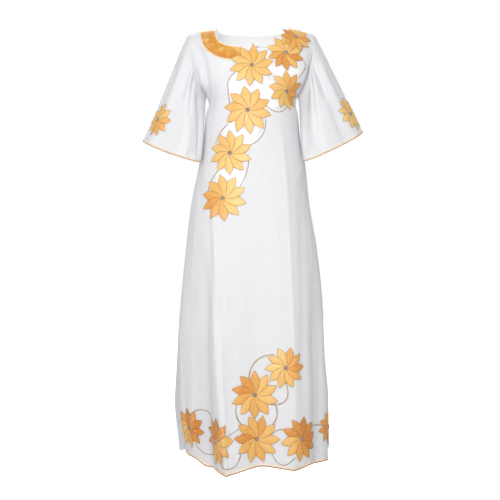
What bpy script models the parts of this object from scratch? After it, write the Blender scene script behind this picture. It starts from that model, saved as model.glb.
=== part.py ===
# Maxi dress, worn shape: an A-line dress with a rounded square neck and flared elbow sleeves,
# an orange neck band, sixteen ten-petal flowers of satin laid on it and a piped front hem.
# Metres, +Z up. The front faces -Y. The origin is midway between the two neck ends of the
# shoulder seams, where the dress is held, and every drop is measured down from there.

import math

import bmesh
import bpy
import numpy as np
from mathutils import Matrix, Vector
from mathutils.bvhtree import BVHTree

NAME = "maxi_dress"

# Cloth and seams
CLOTH = 0.0014             # wall of the white cloth
APPLIQUE = 0.0012          # satin with its backing
SEAM_GAP = 0.0003          # between two pieces that are sewn together
LAY_GAP = 0.0003           # between a panel and what lies on it
LIFT_STEP = 0.0001         # a piece that still touches the one below is raised by this
PROBE = 0.02               # how far off a panel the search for it starts
SAMPLES = 5                # steps along a facet's edge at which its height is measured
WALK_STEPS = 6             # steps in which a length is laid over a curved cloth
MITRE_LEAST = 0.38         # a seam's corner is drawn out to at most 1 over this
NEAR = 0.0002              # outward directions at a panel's top edge are taken this far below it
SLEEVE_NEAR = 0.001        # and at a sleeve's start this share of its length along

# Neck, shoulders, length
NECK_HALF = 0.1085         # half the neck opening, along the shoulder line
NECK_FRONT_DROP = 0.076
NECK_BACK_DROP = 0.011
NECK_FRONT_SQUARE = 3.3    # 2 is an ellipse, more is a rounder square
NECK_BACK_SQUARE = 2.4
SHOULDER_HALF = 0.195      # neck centre line to armhole
SHOULDER_DROP = 0.019
SHOULDER_SLOPE = 0.12      # slope of the shoulder line at the neck; it steepens to the armhole
ROUNDING = 0.09            # height in which the cloth turns from the shoulder to the chest
UNDERARM_DROP = 0.214
HEM_DROP = 1.332

# Trim
BAND_WIDTH = 0.045         # orange neck band
BAND_FLARE = 0.010         # how much wider it is at the shoulder seam
BAND_EDGE = 0.0015         # its inner edge lies this far from the neck's
BAND_START = 0.9999        # share of the neck's half width at which it starts
BAND_END = -0.018          # where it ends, under the first flower
BAND_PIECES = 14
PIPING_RADIUS = 0.0021
PETALS = 10
EYE = 0.34                 # radius of the inner ring as a share of the tip radius
ROOT = 0.62                # and of the petals' roots
NOTCH = 0.66               # and of the notches between them
SIDES = (0.84, 0.86)       # and of the widest places of a petal's two sides
SIDE_TURNS = (-0.18, 0.31)           # how far round they lie, as shares of a petal
PINWHEEL = 5.0             # degrees by which each tip leans
BEAD_RADIUS = 0.0062
BEAD_HEIGHT = 0.0024

# Mesh counts
FRONT_COLUMNS = 38
BACK_COLUMNS = 28
YOKE_ROWS = 9
SKIRT_ROWS = 24
SLEEVE_ROWS = 11
SLEEVE_SPREAD = 1.1        # over 1 draws the rows together at the armhole
CUFF_PIECES = 24
NECK_SHARE = 0.46          # columns inside this share of a panel end at the neck

# Level sections of the body, from the shoulders down. Each width is from the centre line to
# the side, each depth from the side seam to the front or back. Squareness 2 is an ellipse.
SECTION_COLUMNS = ("drop", "left", "right", "front", "back", "left_square", "right_square", "back_square")
SECTIONS = (
    (0.000, 0.2100, 0.2080, 0.088, 0.072, 2.2, 2.2, 2.3),
    (0.080, 0.2160, 0.2140, 0.095, 0.094, 2.2, 2.2, 2.3),
    (0.130, 0.2030, 0.2030, 0.108, 0.104, 2.2, 2.2, 2.3),
    (0.180, 0.1720, 0.1750, 0.117, 0.108, 2.2, 2.2, 2.3),
    (0.214, 0.1415, 0.1450, 0.122, 0.108, 2.2, 2.2, 2.3),
    (0.240, 0.1340, 0.1390, 0.124, 0.106, 2.2, 2.2, 2.3),
    (0.275, 0.1450, 0.1465, 0.125, 0.104, 2.2, 2.2, 2.3),
    (0.320, 0.1485, 0.1500, 0.124, 0.100, 2.2, 2.2, 2.2),
    (0.380, 0.1560, 0.1590, 0.122, 0.098, 2.2, 2.3, 2.2),
    (0.430, 0.1650, 0.1690, 0.124, 0.102, 2.2, 2.3, 2.2),
    (0.553, 0.1900, 0.1820, 0.136, 0.124, 2.2, 2.4, 2.2),
    (0.705, 0.2080, 0.2070, 0.150, 0.142, 2.1, 2.4, 2.3),
    (0.857, 0.2230, 0.2220, 0.160, 0.155, 2.0, 2.5, 2.4),
    (1.009, 0.2330, 0.2280, 0.170, 0.168, 1.9, 2.5, 2.4),
    (1.161, 0.2320, 0.2370, 0.180, 0.180, 1.8, 2.5, 2.5),
    (1.332, 0.2080, 0.2360, 0.188, 0.192, 1.7, 2.6, 2.5),
)

# The armhole in the front and the back, from the shoulder down to the underarm: how far round
# the section it lies, 1 at the side.
ARMHOLE_COLUMNS = ("way", "round")
ARMHOLE = (
    (0.00, 0.757),
    (0.36, 0.667),
    (0.58, 0.672),
    (0.84, 0.780),
    (1.00, 1.000),
)

# Folds that run down the skirt. Across is 0 at the centre and 1 at the side seam, first where
# the fold starts, then at the hem. Rise is outwards at the hem, negative in a valley. The two
# reaches are to the viewer's left and right. Crisp 1 is a pressed edge, 0 a soft roll.
FOLD_COLUMNS = ("name", "panel", "across_top", "across_hem", "start", "full", "rise",
                "reach_left", "reach_right", "crisp", "longer")
FOLDS = (
    ("left ridge", "front", -0.40, -0.190, 0.52, 1.332, 0.060, 0.110, 0.120, 0.75, 0.024),
    ("left flank", "front", -0.64, -0.520, 0.60, 1.332, -0.008, 0.070, 0.120, 0.20, 0.022),
    ("left side roll", "front", -0.86, -0.800, 0.62, 1.332, 0.006, 0.035, 0.030, 0.20, 0.0),
    ("right ridge", "front", 0.38, 0.310, 0.20, 1.332, 0.028, 0.120, 0.120, 0.70, 0.014),
    ("right flank", "front", 0.62, 0.600, 0.60, 1.332, -0.010, 0.060, 0.050, 0.20, 0.010),
    ("right corner", "front", 0.80, 0.760, 0.60, 1.332, 0.008, 0.070, 0.050, 0.30, 0.012),
    ("back left ridge", "back", -0.42, -0.460, 0.45, 1.332, 0.030, 0.080, 0.090, 0.45, 0.008),
    ("back centre dip", "back", -0.02, 0.030, 0.50, 1.332, -0.022, 0.080, 0.070, 0.20, 0.0),
    ("back right ridge", "back", 0.40, 0.360, 0.40, 1.332, 0.034, 0.070, 0.090, 0.45, 0.010),
    ("back left side roll", "back", -0.86, -0.820, 0.95, 1.332, 0.040, 0.060, 0.080, 0.20, 0.020),
    ("back right side roll", "back", 0.84, 0.800, 0.90, 1.332, 0.028, 0.060, 0.060, 0.20, 0.004),
)

# Sleeves: one row each. The places are across, drop and, for the underarm line, how far in
# front of the side seam it ends; flare is half the cuff, front to back.
SLEEVE_COLUMNS = ("name", "side", "outer_across", "outer_drop", "inner_across", "inner_drop",
                  "inner_front", "flare")
SLEEVES = (
    ("sleeve_left", -1, 0.3420, 0.3500, 0.1580, 0.4210, 0.060, 0.066),
    ("sleeve_right", 1, 0.3500, 0.3220, 0.1610, 0.4190, 0.064, 0.066),
)
CUFF_TILT = 0.014          # the front of the cuff hangs this much lower than its middle
SLEEVE_TOP_LEAD = (0.100, 0.190)     # across and down, how the top line sets off
SLEEVE_TOP_END = (0.165, 0.330)      # and how it arrives at the cuff
SLEEVE_UNDER_LEAD = (0.026, 0.080)
SLEEVE_UNDER_END = (0.050, 0.220)
SLEEVE_UNDER_FORWARD = 0.040         # how strongly the underarm line sets off to the front
SLEEVE_FOLD_COLUMNS = ("turn", "rise", "reach")
SLEEVE_FOLDS = (
    (42.0, 0.0045, 20.0),
    (72.0, -0.0050, 20.0),
    (104.0, 0.0050, 22.0),
    (136.0, -0.0040, 18.0),
    (-55.0, 0.0045, 26.0),
    (-100.0, -0.0045, 24.0),
)

# Flowers on the front: across as in the folds, down along the cloth from the shoulder line,
# tip radius, and the turn of the first petal. A later row lies over an earlier one.
FLOWER_COLUMNS = ("name", "across", "down", "radius", "turn")
FLOWERS = (
    ("flower_neck_middle", 0.000, 0.148, 0.067, 8.0),
    ("flower_neck_right", 0.317, 0.094, 0.058, 20.0),
    ("flower_shoulder", 0.428, 0.057, 0.053, 0.0),
    ("flower_armhole", 0.492, 0.204, 0.061, 0.0),
    ("flower_bust", -0.056, 0.284, 0.073, 12.0),
    ("flower_waist_upper", -0.264, 0.405, 0.068, 5.0),
    ("flower_waist_lower", -0.296, 0.542, 0.073, 14.0),
    ("flower_skirt_upper", 0.262, 1.051, 0.062, 3.0),
    ("flower_skirt_middle", 0.023, 1.140, 0.071, 20.0),
    ("flower_hem_middle", 0.038, 1.268, 0.070, 0.0),
    ("flower_hem_right", 0.370, 1.258, 0.066, 8.0),
    ("flower_hem_corner", 0.780, 1.225, 0.052, 10.0),
    ("flower_hem_left", -0.290, 1.267, 0.071, 0.0),
    ("flower_hem_side", -0.700, 1.228, 0.061, 12.0),
)
# Flowers beside the outer line of each sleeve: turn round the sleeve, and share of its length.
SLEEVE_FLOWER_COLUMNS = ("name", "sleeve", "round", "along", "radius", "turn")
SLEEVE_FLOWERS = (
    ("flower_sleeve_left", "sleeve_left", 42.0, 0.785, 0.055, 5.0),
    ("flower_sleeve_right", "sleeve_right", 29.0, 0.812, 0.056, 0.0),
)

COLOURS = {
    "white cloth": (0.83, 0.83, 0.85, 1.0),
    "band satin": (0.80, 0.33, 0.05, 1.0),
    "petal satin": (0.87, 0.45, 0.09, 1.0),
    "hem petal satin": (0.78, 0.33, 0.06, 1.0),
    "piping": (0.72, 0.32, 0.10, 1.0),
    "bead": (0.30, 0.25, 0.24, 1.0),
}
ROUGHNESS = {"white cloth": 0.75, "band satin": 0.40, "petal satin": 0.40,
             "hem petal satin": 0.40, "piping": 0.55, "bead": 0.30}


def rows_of(columns, rows):
    return [dict(zip(columns, row)) for row in rows]


def column(columns, rows, name):
    at = columns.index(name)
    return np.array([row[at] for row in rows], dtype=float)


def smooth(at, xs, ys):
    # A curve through the table's values that does not overshoot between them.
    at = np.clip(np.asarray(at, dtype=float), xs[0], xs[-1])
    step = np.diff(xs)
    slope = np.diff(ys) / step
    lean = np.zeros(len(xs))
    rising = slope[:-1] * slope[1:] > 0
    lean[1:-1][rising] = 2.0 / (1.0 / slope[:-1][rising] + 1.0 / slope[1:][rising])
    lean[0] = slope[0]
    lean[-1] = slope[-1]
    k = np.clip(np.searchsorted(xs, at, side="right") - 1, 0, len(step) - 1)
    s = (at - xs[k]) / step[k]
    return (ys[k] * (1 + 2 * s) * (1 - s) ** 2 + step[k] * lean[k] * s * (1 - s) ** 2
            + ys[k + 1] * s * s * (3 - 2 * s) + step[k] * lean[k + 1] * s * s * (s - 1))


def section(drop, name):
    xs = column(SECTION_COLUMNS, SECTIONS, "drop")
    return smooth(drop, xs, column(SECTION_COLUMNS, SECTIONS, name))


def armhole_round(way):
    ways = column(ARMHOLE_COLUMNS, ARMHOLE, "way")
    return float(smooth(way, ways, column(ARMHOLE_COLUMNS, ARMHOLE, "round")))


def armhole_place(side, way):
    # Where the armhole runs on the front or back, at a share of its way to the underarm.
    whole = UNDERARM_DROP - float(shoulder_drop(np.array([float(side)]))[0])
    return side * armhole_round(way), whole * way


def round_share(across, square):
    # Sine and cosine of a turn round a section, pushed out towards its corners.
    angle = np.asarray(across, dtype=float) * math.pi / 2
    s = np.sin(angle)
    c = np.cos(angle)
    out = (np.abs(s) ** square + np.abs(c) ** square) ** (-1.0 / square)
    return s * out, c * out


def shoulder_drop(across):
    # Drop of the shoulder line, which runs on above the neck opening.
    half = np.where(across < 0, section(0.0, "left"), section(0.0, "right"))
    away = np.abs(half * np.sin(across * math.pi / 2)) - NECK_HALF
    width = SHOULDER_HALF - NECK_HALF
    bend = (SHOULDER_DROP - SHOULDER_SLOPE * width) / width ** 2
    return SHOULDER_SLOPE * away + bend * np.maximum(away, 0.0) ** 2


def down_to_drop(across, down):
    # Along the cloth from the shoulder line: a quarter turn first, then straight down.
    turn = np.clip(down / ROUNDING, -1.0, 1.0) * math.pi / 2
    rounded = ROUNDING * (1 - np.cos(turn)) + np.maximum(down - ROUNDING, 0.0)
    return shoulder_drop(across) + rounded, np.sin(turn)


def drop_to_down(across, drop):
    below = np.maximum(drop - shoulder_drop(across), 0.0)
    turned = np.arccos(np.clip(1 - below / ROUNDING, 0.0, 1.0)) * ROUNDING / (math.pi / 2)
    return np.where(below < ROUNDING, turned, below)


def fold_amount(panel, across, drop):
    # Outward push of the folds, and how much longer the cloth hangs on them.
    push = np.zeros(np.broadcast(across, drop).shape)
    longer = np.zeros_like(push)
    half = np.where(across < 0, section(drop, "left"), section(drop, "right"))
    for fold in rows_of(FOLD_COLUMNS, FOLDS):
        if fold["panel"] != panel:
            continue
        grown = np.clip((drop - fold["start"]) / (fold["full"] - fold["start"]), 0.0, 1.0)
        centre = fold["across_top"] + (fold["across_hem"] - fold["across_top"]) * grown
        away = (across - centre) * half * math.pi / 2
        reach = np.where(away < 0, fold["reach_left"], fold["reach_right"])
        k = np.clip(np.abs(away) / reach, 0.0, 1.0)
        shape = fold["crisp"] * (1 - k) ** 2 + (1 - fold["crisp"]) * 0.5 * (1 + np.cos(math.pi * k))
        size = grown ** 0.8
        push = push + fold["rise"] * size * shape
        longer = longer + fold["longer"] * shape
    fade = 1 - np.abs(np.clip(across, -1.0, 1.0)) ** 8
    return push * fade, longer * fade


def body_point(panel, across, down):
    # The point of the front or back cloth at a place across it and down it.
    across, down = np.broadcast_arrays(np.asarray(across, float), np.asarray(down, float))
    drop, turned = down_to_drop(across, down)
    facing = -1.0 if panel == "front" else 1.0
    half = np.where(across < 0, section(drop, "left"), section(drop, "right"))
    if panel == "front":
        square = np.where(across < 0, section(drop, "left_square"), section(drop, "right_square"))
    else:
        square = section(drop, "back_square")
    s, c = round_share(across, square)
    depth = section(drop, panel)
    push, _ = fold_amount(panel, across, drop)
    norm = np.sqrt((s / half) ** 2 + (c / depth) ** 2)
    x = half * s + push * (s / half) / norm
    y = facing * (depth * c * turned + push * (c / depth) / norm)
    return np.stack([x, y, -drop], axis=-1)


def front_point(across, down):
    return body_point("front", across, down)


def back_point(across, down):
    return body_point("back", across, down)


def unit(vectors):
    return vectors / np.maximum(np.linalg.norm(vectors, axis=-1, keepdims=True), 1e-12)


def tangents(surface, u, v, du=1e-4, dv=1e-4):
    along_u = (surface(u + du, v) - surface(u - du, v)) / (2 * du)
    along_v = (surface(u, v + dv) - surface(u, v - dv)) / (2 * dv)
    return along_u, along_v


def outward(surface, u, v, hand):
    along_u, along_v = tangents(surface, u, v)
    return hand * unit(np.cross(along_u, along_v))


def neck_edge(turn, panel):
    # A point of the neck edge: turn -1 and 1 are its ends on the shoulder seams.
    drop = NECK_FRONT_DROP if panel == "front" else NECK_BACK_DROP
    square = NECK_FRONT_SQUARE if panel == "front" else NECK_BACK_SQUARE
    s, c = round_share(turn, square)
    half = np.where(turn < 0, section(0.0, "left"), section(0.0, "right"))
    across = np.arcsin(np.clip(NECK_HALF * s / half, -1, 1)) * 2 / math.pi
    return across, drop_to_down(across, drop * c)


def panel_columns(count):
    # Shares across a panel, with the neck's end always on a column.
    shoulder = max(4, count // 8)
    middle = count - 2 * shoulder
    share = NECK_SHARE
    left = np.linspace(-1.0, -share, shoulder, endpoint=False)
    mid = np.linspace(-share, share, middle + 1)
    right = np.linspace(share, 1.0, shoulder + 1)[1:]
    return np.concatenate([left, mid, right])


def panel_grid(panel, count):
    # Places across and down for each row and column of a panel, and its points.
    columns = panel_columns(count)
    side = np.sign(columns)
    shoulder_share = float(ARMHOLE[0][1])
    inside = np.abs(columns) <= NECK_SHARE + 1e-9
    neck_across, neck_down = neck_edge(np.clip(columns / NECK_SHARE, -1, 1), panel)
    neck_end, _ = neck_edge(np.where(side < 0, -1.0, 1.0), panel)
    beyond = np.clip((np.abs(columns) - NECK_SHARE) / (1 - NECK_SHARE), 0, 1)
    top_across = np.where(inside, neck_across, neck_end + side * (shoulder_share - np.abs(neck_end)) * beyond)
    top_down = np.where(inside, neck_down, 0.0)
    across_rows = []
    down_rows = []
    for row in range(YOKE_ROWS + 1):
        share = row / YOKE_ROWS
        across = armhole_round(share) * ((1 - share) * top_across / shoulder_share + share * columns)
        bottom = UNDERARM_DROP - shoulder_drop(across)
        ends = np.array([armhole_place(side, share)[1] for side in (-1, 1)])
        row_share = np.interp(columns, (-1.0, 1.0), ends / bottom[[0, -1]])
        across_rows.append(across)
        down_rows.append(top_down * (1 - row_share) + bottom * row_share)
    for row in range(1, SKIRT_ROWS + 1):
        share = row / SKIRT_ROWS
        drop = UNDERARM_DROP + (HEM_DROP - UNDERARM_DROP) * share
        _, longer = fold_amount(panel, columns, np.full_like(columns, HEM_DROP))
        drop = drop + longer * share ** 6
        across_rows.append(columns)
        down_rows.append(drop - shoulder_drop(columns))
    return np.array(across_rows), np.array(down_rows)


def armhole_point(side, panel, way):
    across, down = armhole_place(side, way)
    return body_point(panel, np.array([across]), np.array([down]))[0]


def sleeve_surface(sleeve):
    # A sleeve's cloth: turn is 0 on its outer line, 90 in front, 180 under the arm.
    side = sleeve["side"]
    shares = np.linspace(0.0, 1.0, YOKE_ROWS + 1)
    front = np.array([armhole_point(side, "front", share) for share in shares])
    back = np.array([armhole_point(side, "back", share) for share in shares])
    loop = np.concatenate([back[::-1], front[1:]])
    turns = np.concatenate([-180 * shares[::-1], 180 * shares[1:]])
    outer = np.array([side * sleeve["outer_across"], 0.0, -sleeve["outer_drop"]])
    inner = np.array([side * sleeve["inner_across"], -sleeve["inner_front"], -sleeve["inner_drop"]])
    middle = (outer + inner) / 2
    arm = (outer - inner) / 2

    def lead(top, under, weight):
        across = side * (under[0] + (top[0] - under[0]) * weight)
        down = under[1] + (top[1] - under[1]) * weight
        return np.stack([across, np.zeros_like(across), -down], axis=-1)

    def point(turn, along):
        turn, along = np.broadcast_arrays(np.asarray(turn, float), np.asarray(along, float))
        wrapped = (turn + 180.0) % 360.0 - 180.0
        start = np.stack([np.interp(wrapped, turns, loop[:, axis]) for axis in range(3)], axis=-1)
        angle = np.radians(wrapped)
        cuff = middle + arm * np.cos(angle)[..., None]
        cuff = cuff + np.stack([np.zeros_like(angle), -sleeve["flare"] * np.sin(angle),
                                -CUFF_TILT * np.sin(angle)], axis=-1)
        weight = 0.5 + 0.5 * np.cos(angle)
        first = lead(SLEEVE_TOP_LEAD, SLEEVE_UNDER_LEAD, weight)
        first[..., 1] -= SLEEVE_UNDER_FORWARD * (1 - weight)
        last = lead(SLEEVE_TOP_END, SLEEVE_UNDER_END, weight)
        s = along[..., None]
        place = (start * (1 + 2 * s) * (1 - s) ** 2 + first * s * (1 - s) ** 2
                 + cuff * s * s * (3 - 2 * s) + last * s * s * (s - 1))
        push = np.zeros_like(along)
        for fold in rows_of(SLEEVE_FOLD_COLUMNS, SLEEVE_FOLDS):
            k = np.clip(np.abs(wrapped - fold["turn"]) / fold["reach"], 0, 1)
            push = push + fold["rise"] * 0.5 * (1 + np.cos(math.pi * k)) * np.clip(along, 0, 1)
        away = unit(np.stack([np.cos(angle) * arm[0], -np.sin(angle) * sleeve["flare"],
                              np.cos(angle) * arm[2]], axis=-1))
        return place + away * push[..., None]

    return point


def material(name):
    made = bpy.data.materials.get(name)
    if made is None:
        made = bpy.data.materials.new(name)
        made.use_nodes = True
        shader = made.node_tree.nodes["Principled BSDF"]
        shader.inputs["Base Color"].default_value = COLOURS[name]
        shader.inputs["Roughness"].default_value = ROUGHNESS[name]
        shader.inputs["Metallic"].default_value = 0.0
    return made


def add_object(name, mesh, finish):
    made = bpy.data.objects.new(name, mesh)
    mesh.materials.append(material(finish))
    mesh.shade_smooth()
    mesh.set_sharp_from_angle(angle=math.radians(40))
    bpy.data.collections[NAME].objects.link(made)
    return made


def closed_mesh(name, points, faces):
    mesh = bpy.data.meshes.new(name)
    mesh.from_pydata([tuple(p) for p in points], [], faces)
    work = bmesh.new()
    work.from_mesh(mesh)
    bmesh.ops.recalc_face_normals(work, faces=work.faces)
    bmesh.ops.triangulate(work, faces=work.faces)
    work.to_mesh(mesh)
    work.free()
    return mesh


def wall(name, points, normals, finish, thickness, ring=False):
    # A wall of even thickness about a grid of points. Its edges are mitred by the normals
    # given, so that two pieces that share a seam end in parallel faces. A ring closes on itself.
    rows, count = points.shape[:2]
    outer = (points + normals * thickness / 2).reshape(-1, 3)
    inner = (points - normals * thickness / 2).reshape(-1, 3)
    total = rows * count
    faces = []
    last = count if ring else count - 1
    for r in range(rows - 1):
        for c in range(last):
            n = (c + 1) % count
            quad = (r * count + c, r * count + n, (r + 1) * count + n, (r + 1) * count + c)
            faces.append(quad)
            faces.append(tuple(total + i for i in reversed(quad)))
    edges = [(0, c, 0, (c + 1) % count) for c in range(last)]
    edges += [(rows - 1, (c + 1) % count, rows - 1, c) for c in range(last)]
    if not ring:
        edges += [(r + 1, 0, r, 0) for r in range(rows - 1)]
        edges += [(r, count - 1, r + 1, count - 1) for r in range(rows - 1)]
    for r0, c0, r1, c1 in edges:
        a = r0 * count + c0
        b = r1 * count + c1
        faces.append((b, a, total + a, total + b))
    return add_object(name, closed_mesh(name, np.concatenate([outer, inner]), faces), finish)


def seam_inset(points, normals, line, inwards):
    # Moves the points of one seam off it by half the seam's gap, square to its mitre.
    index = np.array(line)
    along = np.zeros((len(line), 3))
    place = np.array([points[r, c] for r, c in line])
    along[1:-1] = place[2:] - place[:-2]
    along[0] = place[1] - place[0]
    along[-1] = place[-1] - place[-2]
    shifts = np.zeros_like(along)
    for i, (r, c) in enumerate(index):
        off = np.cross(unit(along[i]), unit(normals[r, c]))
        inner = points[inwards[i][0], inwards[i][1]] - points[r, c]
        off = off if off @ inner > 0 else -off
        shifts[i] = off * SEAM_GAP / 2
    return index, shifts


def mitre(first, second):
    # The direction halfway between two outward normals, lengthened to keep the wall's width.
    half = unit(first + second)
    fit = np.maximum(np.sum(half * first, axis=-1, keepdims=True), MITRE_LEAST)
    return half / fit


def make_panel(name, panel, count, sleeves):
    surface = front_point if panel == "front" else back_point
    hand = -1.0 if panel == "front" else 1.0
    across, down = panel_grid(panel, count)
    points = surface(across, down)
    normals = outward(surface, across, np.maximum(down, NEAR), hand)
    rows, count = across.shape
    for col, side in ((0, -1), (count - 1, 1)):
        turn = 180.0 if panel == "front" else -180.0
        shares = np.linspace(0, 1, YOKE_ROWS + 1)
        sleeve_normal = sleeve_start_normals(sleeves[side], side, turn * shares)
        normals[:YOKE_ROWS + 1, col] = mitre(normals[:YOKE_ROWS + 1, col], sleeve_normal)
        for row in (0, YOKE_ROWS):
            normals[row, col] = mitre(corner_normal(side, row), sleeve_normal[row])
    moves = []
    neck = [c for c in range(count) if abs(panel_columns(count - 1)[c]) >= NECK_SHARE - 1e-9]
    for side in (-1, 1):
        cols = [c for c in neck if side * panel_columns(count - 1)[c] > 0]
        moves.append(seam_inset(points, normals, [(0, c) for c in cols], [(1, c) for c in cols]))
    for col, inner in ((0, 1), (count - 1, count - 2)):
        upper = range(YOKE_ROWS + 1)
        lower = range(YOKE_ROWS, rows)
        for part in (upper, lower):
            moves.append(seam_inset(points, normals, [(r, col) for r in part], [(r, inner) for r in part]))
    for index, shifts in moves:
        for (r, c), shift in zip(index, shifts):
            points[r, c] += shift
    return wall(name, points, normals, "white cloth", CLOTH)


def sleeve_start_normals(surface, side, turns):
    # Outward directions of a sleeve where it leaves the armhole.
    return outward(surface, turns, np.full_like(turns, SLEEVE_NEAR), side)


def armhole_normal(side, panel, way):
    surface = front_point if panel == "front" else back_point
    across, down = armhole_place(side, way)
    hand = -1.0 if panel == "front" else 1.0
    return outward(surface, np.array([across]), np.array([max(down, NEAR)]), hand)[0]


def corner_normal(side, row):
    # Outward direction of the body where front, back and sleeve meet.
    way = 0.0 if row == 0 else 1.0
    return unit(armhole_normal(side, "front", way) + armhole_normal(side, "back", way))


def make_sleeve(sleeve, surface):
    side = sleeve["side"]
    shares = np.linspace(0, 1, YOKE_ROWS + 1)
    turns = np.concatenate([180 * shares, -180 * shares[::-1][1:-1]])
    along = np.linspace(0, 1, SLEEVE_ROWS + 1) ** SLEEVE_SPREAD
    turn_grid, along_grid = np.meshgrid(turns, along)
    points = surface(turn_grid, along_grid)
    normals = outward(surface, turn_grid, np.maximum(along_grid, SLEEVE_NEAR), side)
    normals[0] = sleeve_start_normals(surface, side, turns)
    for i, turn in enumerate(turns):
        row = int(round(abs(turn) / 180 * YOKE_ROWS))
        panel = "front" if turn >= 0 else "back"
        if row in (0, YOKE_ROWS):
            body = corner_normal(side, row)
        else:
            body = armhole_normal(side, panel, abs(turn) / 180)
        normals[0, i] = mitre(body, normals[0, i])
    count = len(turns)
    for i in range(count):
        around = unit(points[0, (i + 1) % count] - points[0, i - 1])
        off = np.cross(around, unit(normals[0, i]))
        inner = points[1, i] - points[0, i]
        off = off if off @ inner > 0 else -off
        points[0, i] += off * SEAM_GAP / 2
    return wall(sleeve["name"], points, normals, "white cloth", CLOTH, ring=True)


def cloth_frame(surface, u, v):
    # Directions to the viewer's right and down along a cloth at some of its places.
    along_u, along_v = tangents(surface, u, v)
    right = unit(along_u)
    right = np.where(right[:, :1] < 0, -right, right)
    down = unit(along_v - right * np.sum(along_v * right, axis=-1, keepdims=True))
    return right, down


def walk(surface, start, bearings, lengths):
    # Goes from one place of a cloth over it, straight ahead by each bearing and length, as a
    # flat piece of cloth would lie. Bearing 0 is to the viewer's right, 90 is up.
    u = np.full(len(bearings), start[0], dtype=float)
    v = np.full(len(bearings), start[1], dtype=float)
    right, down = cloth_frame(surface, u, v)
    angle = np.radians(np.asarray(bearings, float))[:, None]
    heading = np.cos(angle) * right - np.sin(angle) * down
    for _ in range(WALK_STEPS):
        along_u, along_v = tangents(surface, u, v)
        normal = unit(np.cross(along_u, along_v))
        heading = unit(heading - normal * np.sum(heading * normal, axis=-1, keepdims=True))
        step = heading * (np.asarray(lengths, float) / WALK_STEPS)[:, None]
        uu = np.sum(along_u * along_u, axis=-1)
        vv = np.sum(along_v * along_v, axis=-1)
        uv = np.sum(along_u * along_v, axis=-1)
        su = np.sum(along_u * step, axis=-1)
        sv = np.sum(along_v * step, axis=-1)
        scale = uu * vv - uv * uv
        u = u + (su * vv - sv * uv) / scale
        v = v + (sv * uu - su * uv) / scale
    return u, v


def tree_of(made):
    mesh = made.data
    return BVHTree.FromPolygons([v.co for v in mesh.vertices], [tuple(p.vertices) for p in mesh.polygons])


def height_over(trees, points, normals):
    # Least height of some points over the pieces below them.
    least = PROBE
    for place, normal in zip(points, normals):
        for tree in trees:
            start = Vector(place + normal * PROBE)
            hit = tree.ray_cast(start, Vector(-normal), 2 * PROBE)
            if hit[0] is not None:
                least = min(least, hit[3] - PROBE)
    return least


def face_samples(points, faces):
    # Points spread evenly over each triangle.
    spots = []
    for a, b, c in faces:
        for i in range(SAMPLES + 1):
            for j in range(SAMPLES + 1 - i):
                k = SAMPLES - i - j
                spots.append((points[a] * i + points[b] * j + points[c] * k) / SAMPLES)
    return np.array(spots)


def clear_lift(base, normals, faces, below):
    # How far out each point of a piece has to move to clear the pieces below it.
    lift = np.full((len(base), 1), -PROBE)
    for face in faces:
        spots = face_samples(base, [face])
        need = -height_over(below, spots, unit(face_samples(normals, [face])))
        for corner in face:
            lift[corner] = max(lift[corner, 0], need)
    while True:
        under = [tuple(p) for p in base + normals * lift]
        moved = BVHTree.FromPolygons(under, faces)
        if not any(moved.overlap(tree) for tree in below):
            return lift + LAY_GAP
        lift += LIFT_STEP


def laid_piece(name, finish, surface, hand, u, v, faces, rim, below):
    # A piece of applique laid on a cloth: its underside follows the cloth's points, moved out
    # until it clears the pieces below it, and its upper side is one thickness further out.
    base = surface(u, v)
    normals = outward(surface, u, v, hand)
    under = base + normals * clear_lift(base, normals, faces, below)
    upper = under + normals * APPLIQUE
    total = len(base)
    closed = [tuple(face) for face in faces]
    closed += [tuple(total + i for i in reversed(face)) for face in faces]
    for a, b in zip(rim, rim[1:] + rim[:1]):
        closed.append((a, b, total + b, total + a))
    return add_object(name, closed_mesh(name, np.concatenate([upper, under]), closed), finish)


def flower_outline(radius, turn):
    # Polar points of a ten-petal flower in rings: middle, inner ring, notches with petal
    # roots, and the petals' sides and tips.
    step = 360.0 / PETALS
    bearings = [0.0]
    lengths = [0.0]
    for i in range(PETALS):
        bearings.append(turn + i * step)
        lengths.append(EYE * radius)
    for i in range(PETALS):
        bearings += [turn + i * step, turn + (i + 0.5) * step]
        lengths += [ROOT * radius, NOTCH * radius]
    for i in range(PETALS):
        bearings += [turn + (i + SIDE_TURNS[0]) * step, turn + i * step + PINWHEEL]
        bearings.append(turn + (i + SIDE_TURNS[1]) * step)
        lengths += [SIDES[0] * radius, radius, SIDES[1] * radius]
    faces = []
    rim = []
    for i in range(PETALS):
        n = (i + 1) % PETALS
        ring = 1 + i
        ring_next = 1 + n
        root = 1 + PETALS + 2 * i
        notch = root + 1
        root_next = 1 + PETALS + 2 * n
        notch_before = 1 + PETALS + 2 * ((i - 1) % PETALS) + 1
        side_a = 1 + 3 * PETALS + 3 * i
        tip = side_a + 1
        side_b = side_a + 2
        faces.append((0, ring, ring_next))
        faces += [(ring, root, notch), (ring, notch, ring_next), (ring_next, notch, root_next)]
        faces += [(root, notch_before, side_a), (root, side_a, tip)]
        faces += [(root, tip, side_b), (root, side_b, notch)]
        rim += [side_a, tip, side_b, notch]
    return np.array(bearings), np.array(lengths), faces, rim


def make_flower(name, surface, hand, start, radius, turn, below, finish):
    bearings, lengths, faces, rim = flower_outline(radius, turn)
    u, v = walk(surface, start, bearings, lengths)
    return laid_piece(name, finish, surface, hand, u, v, faces, rim, below)


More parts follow.
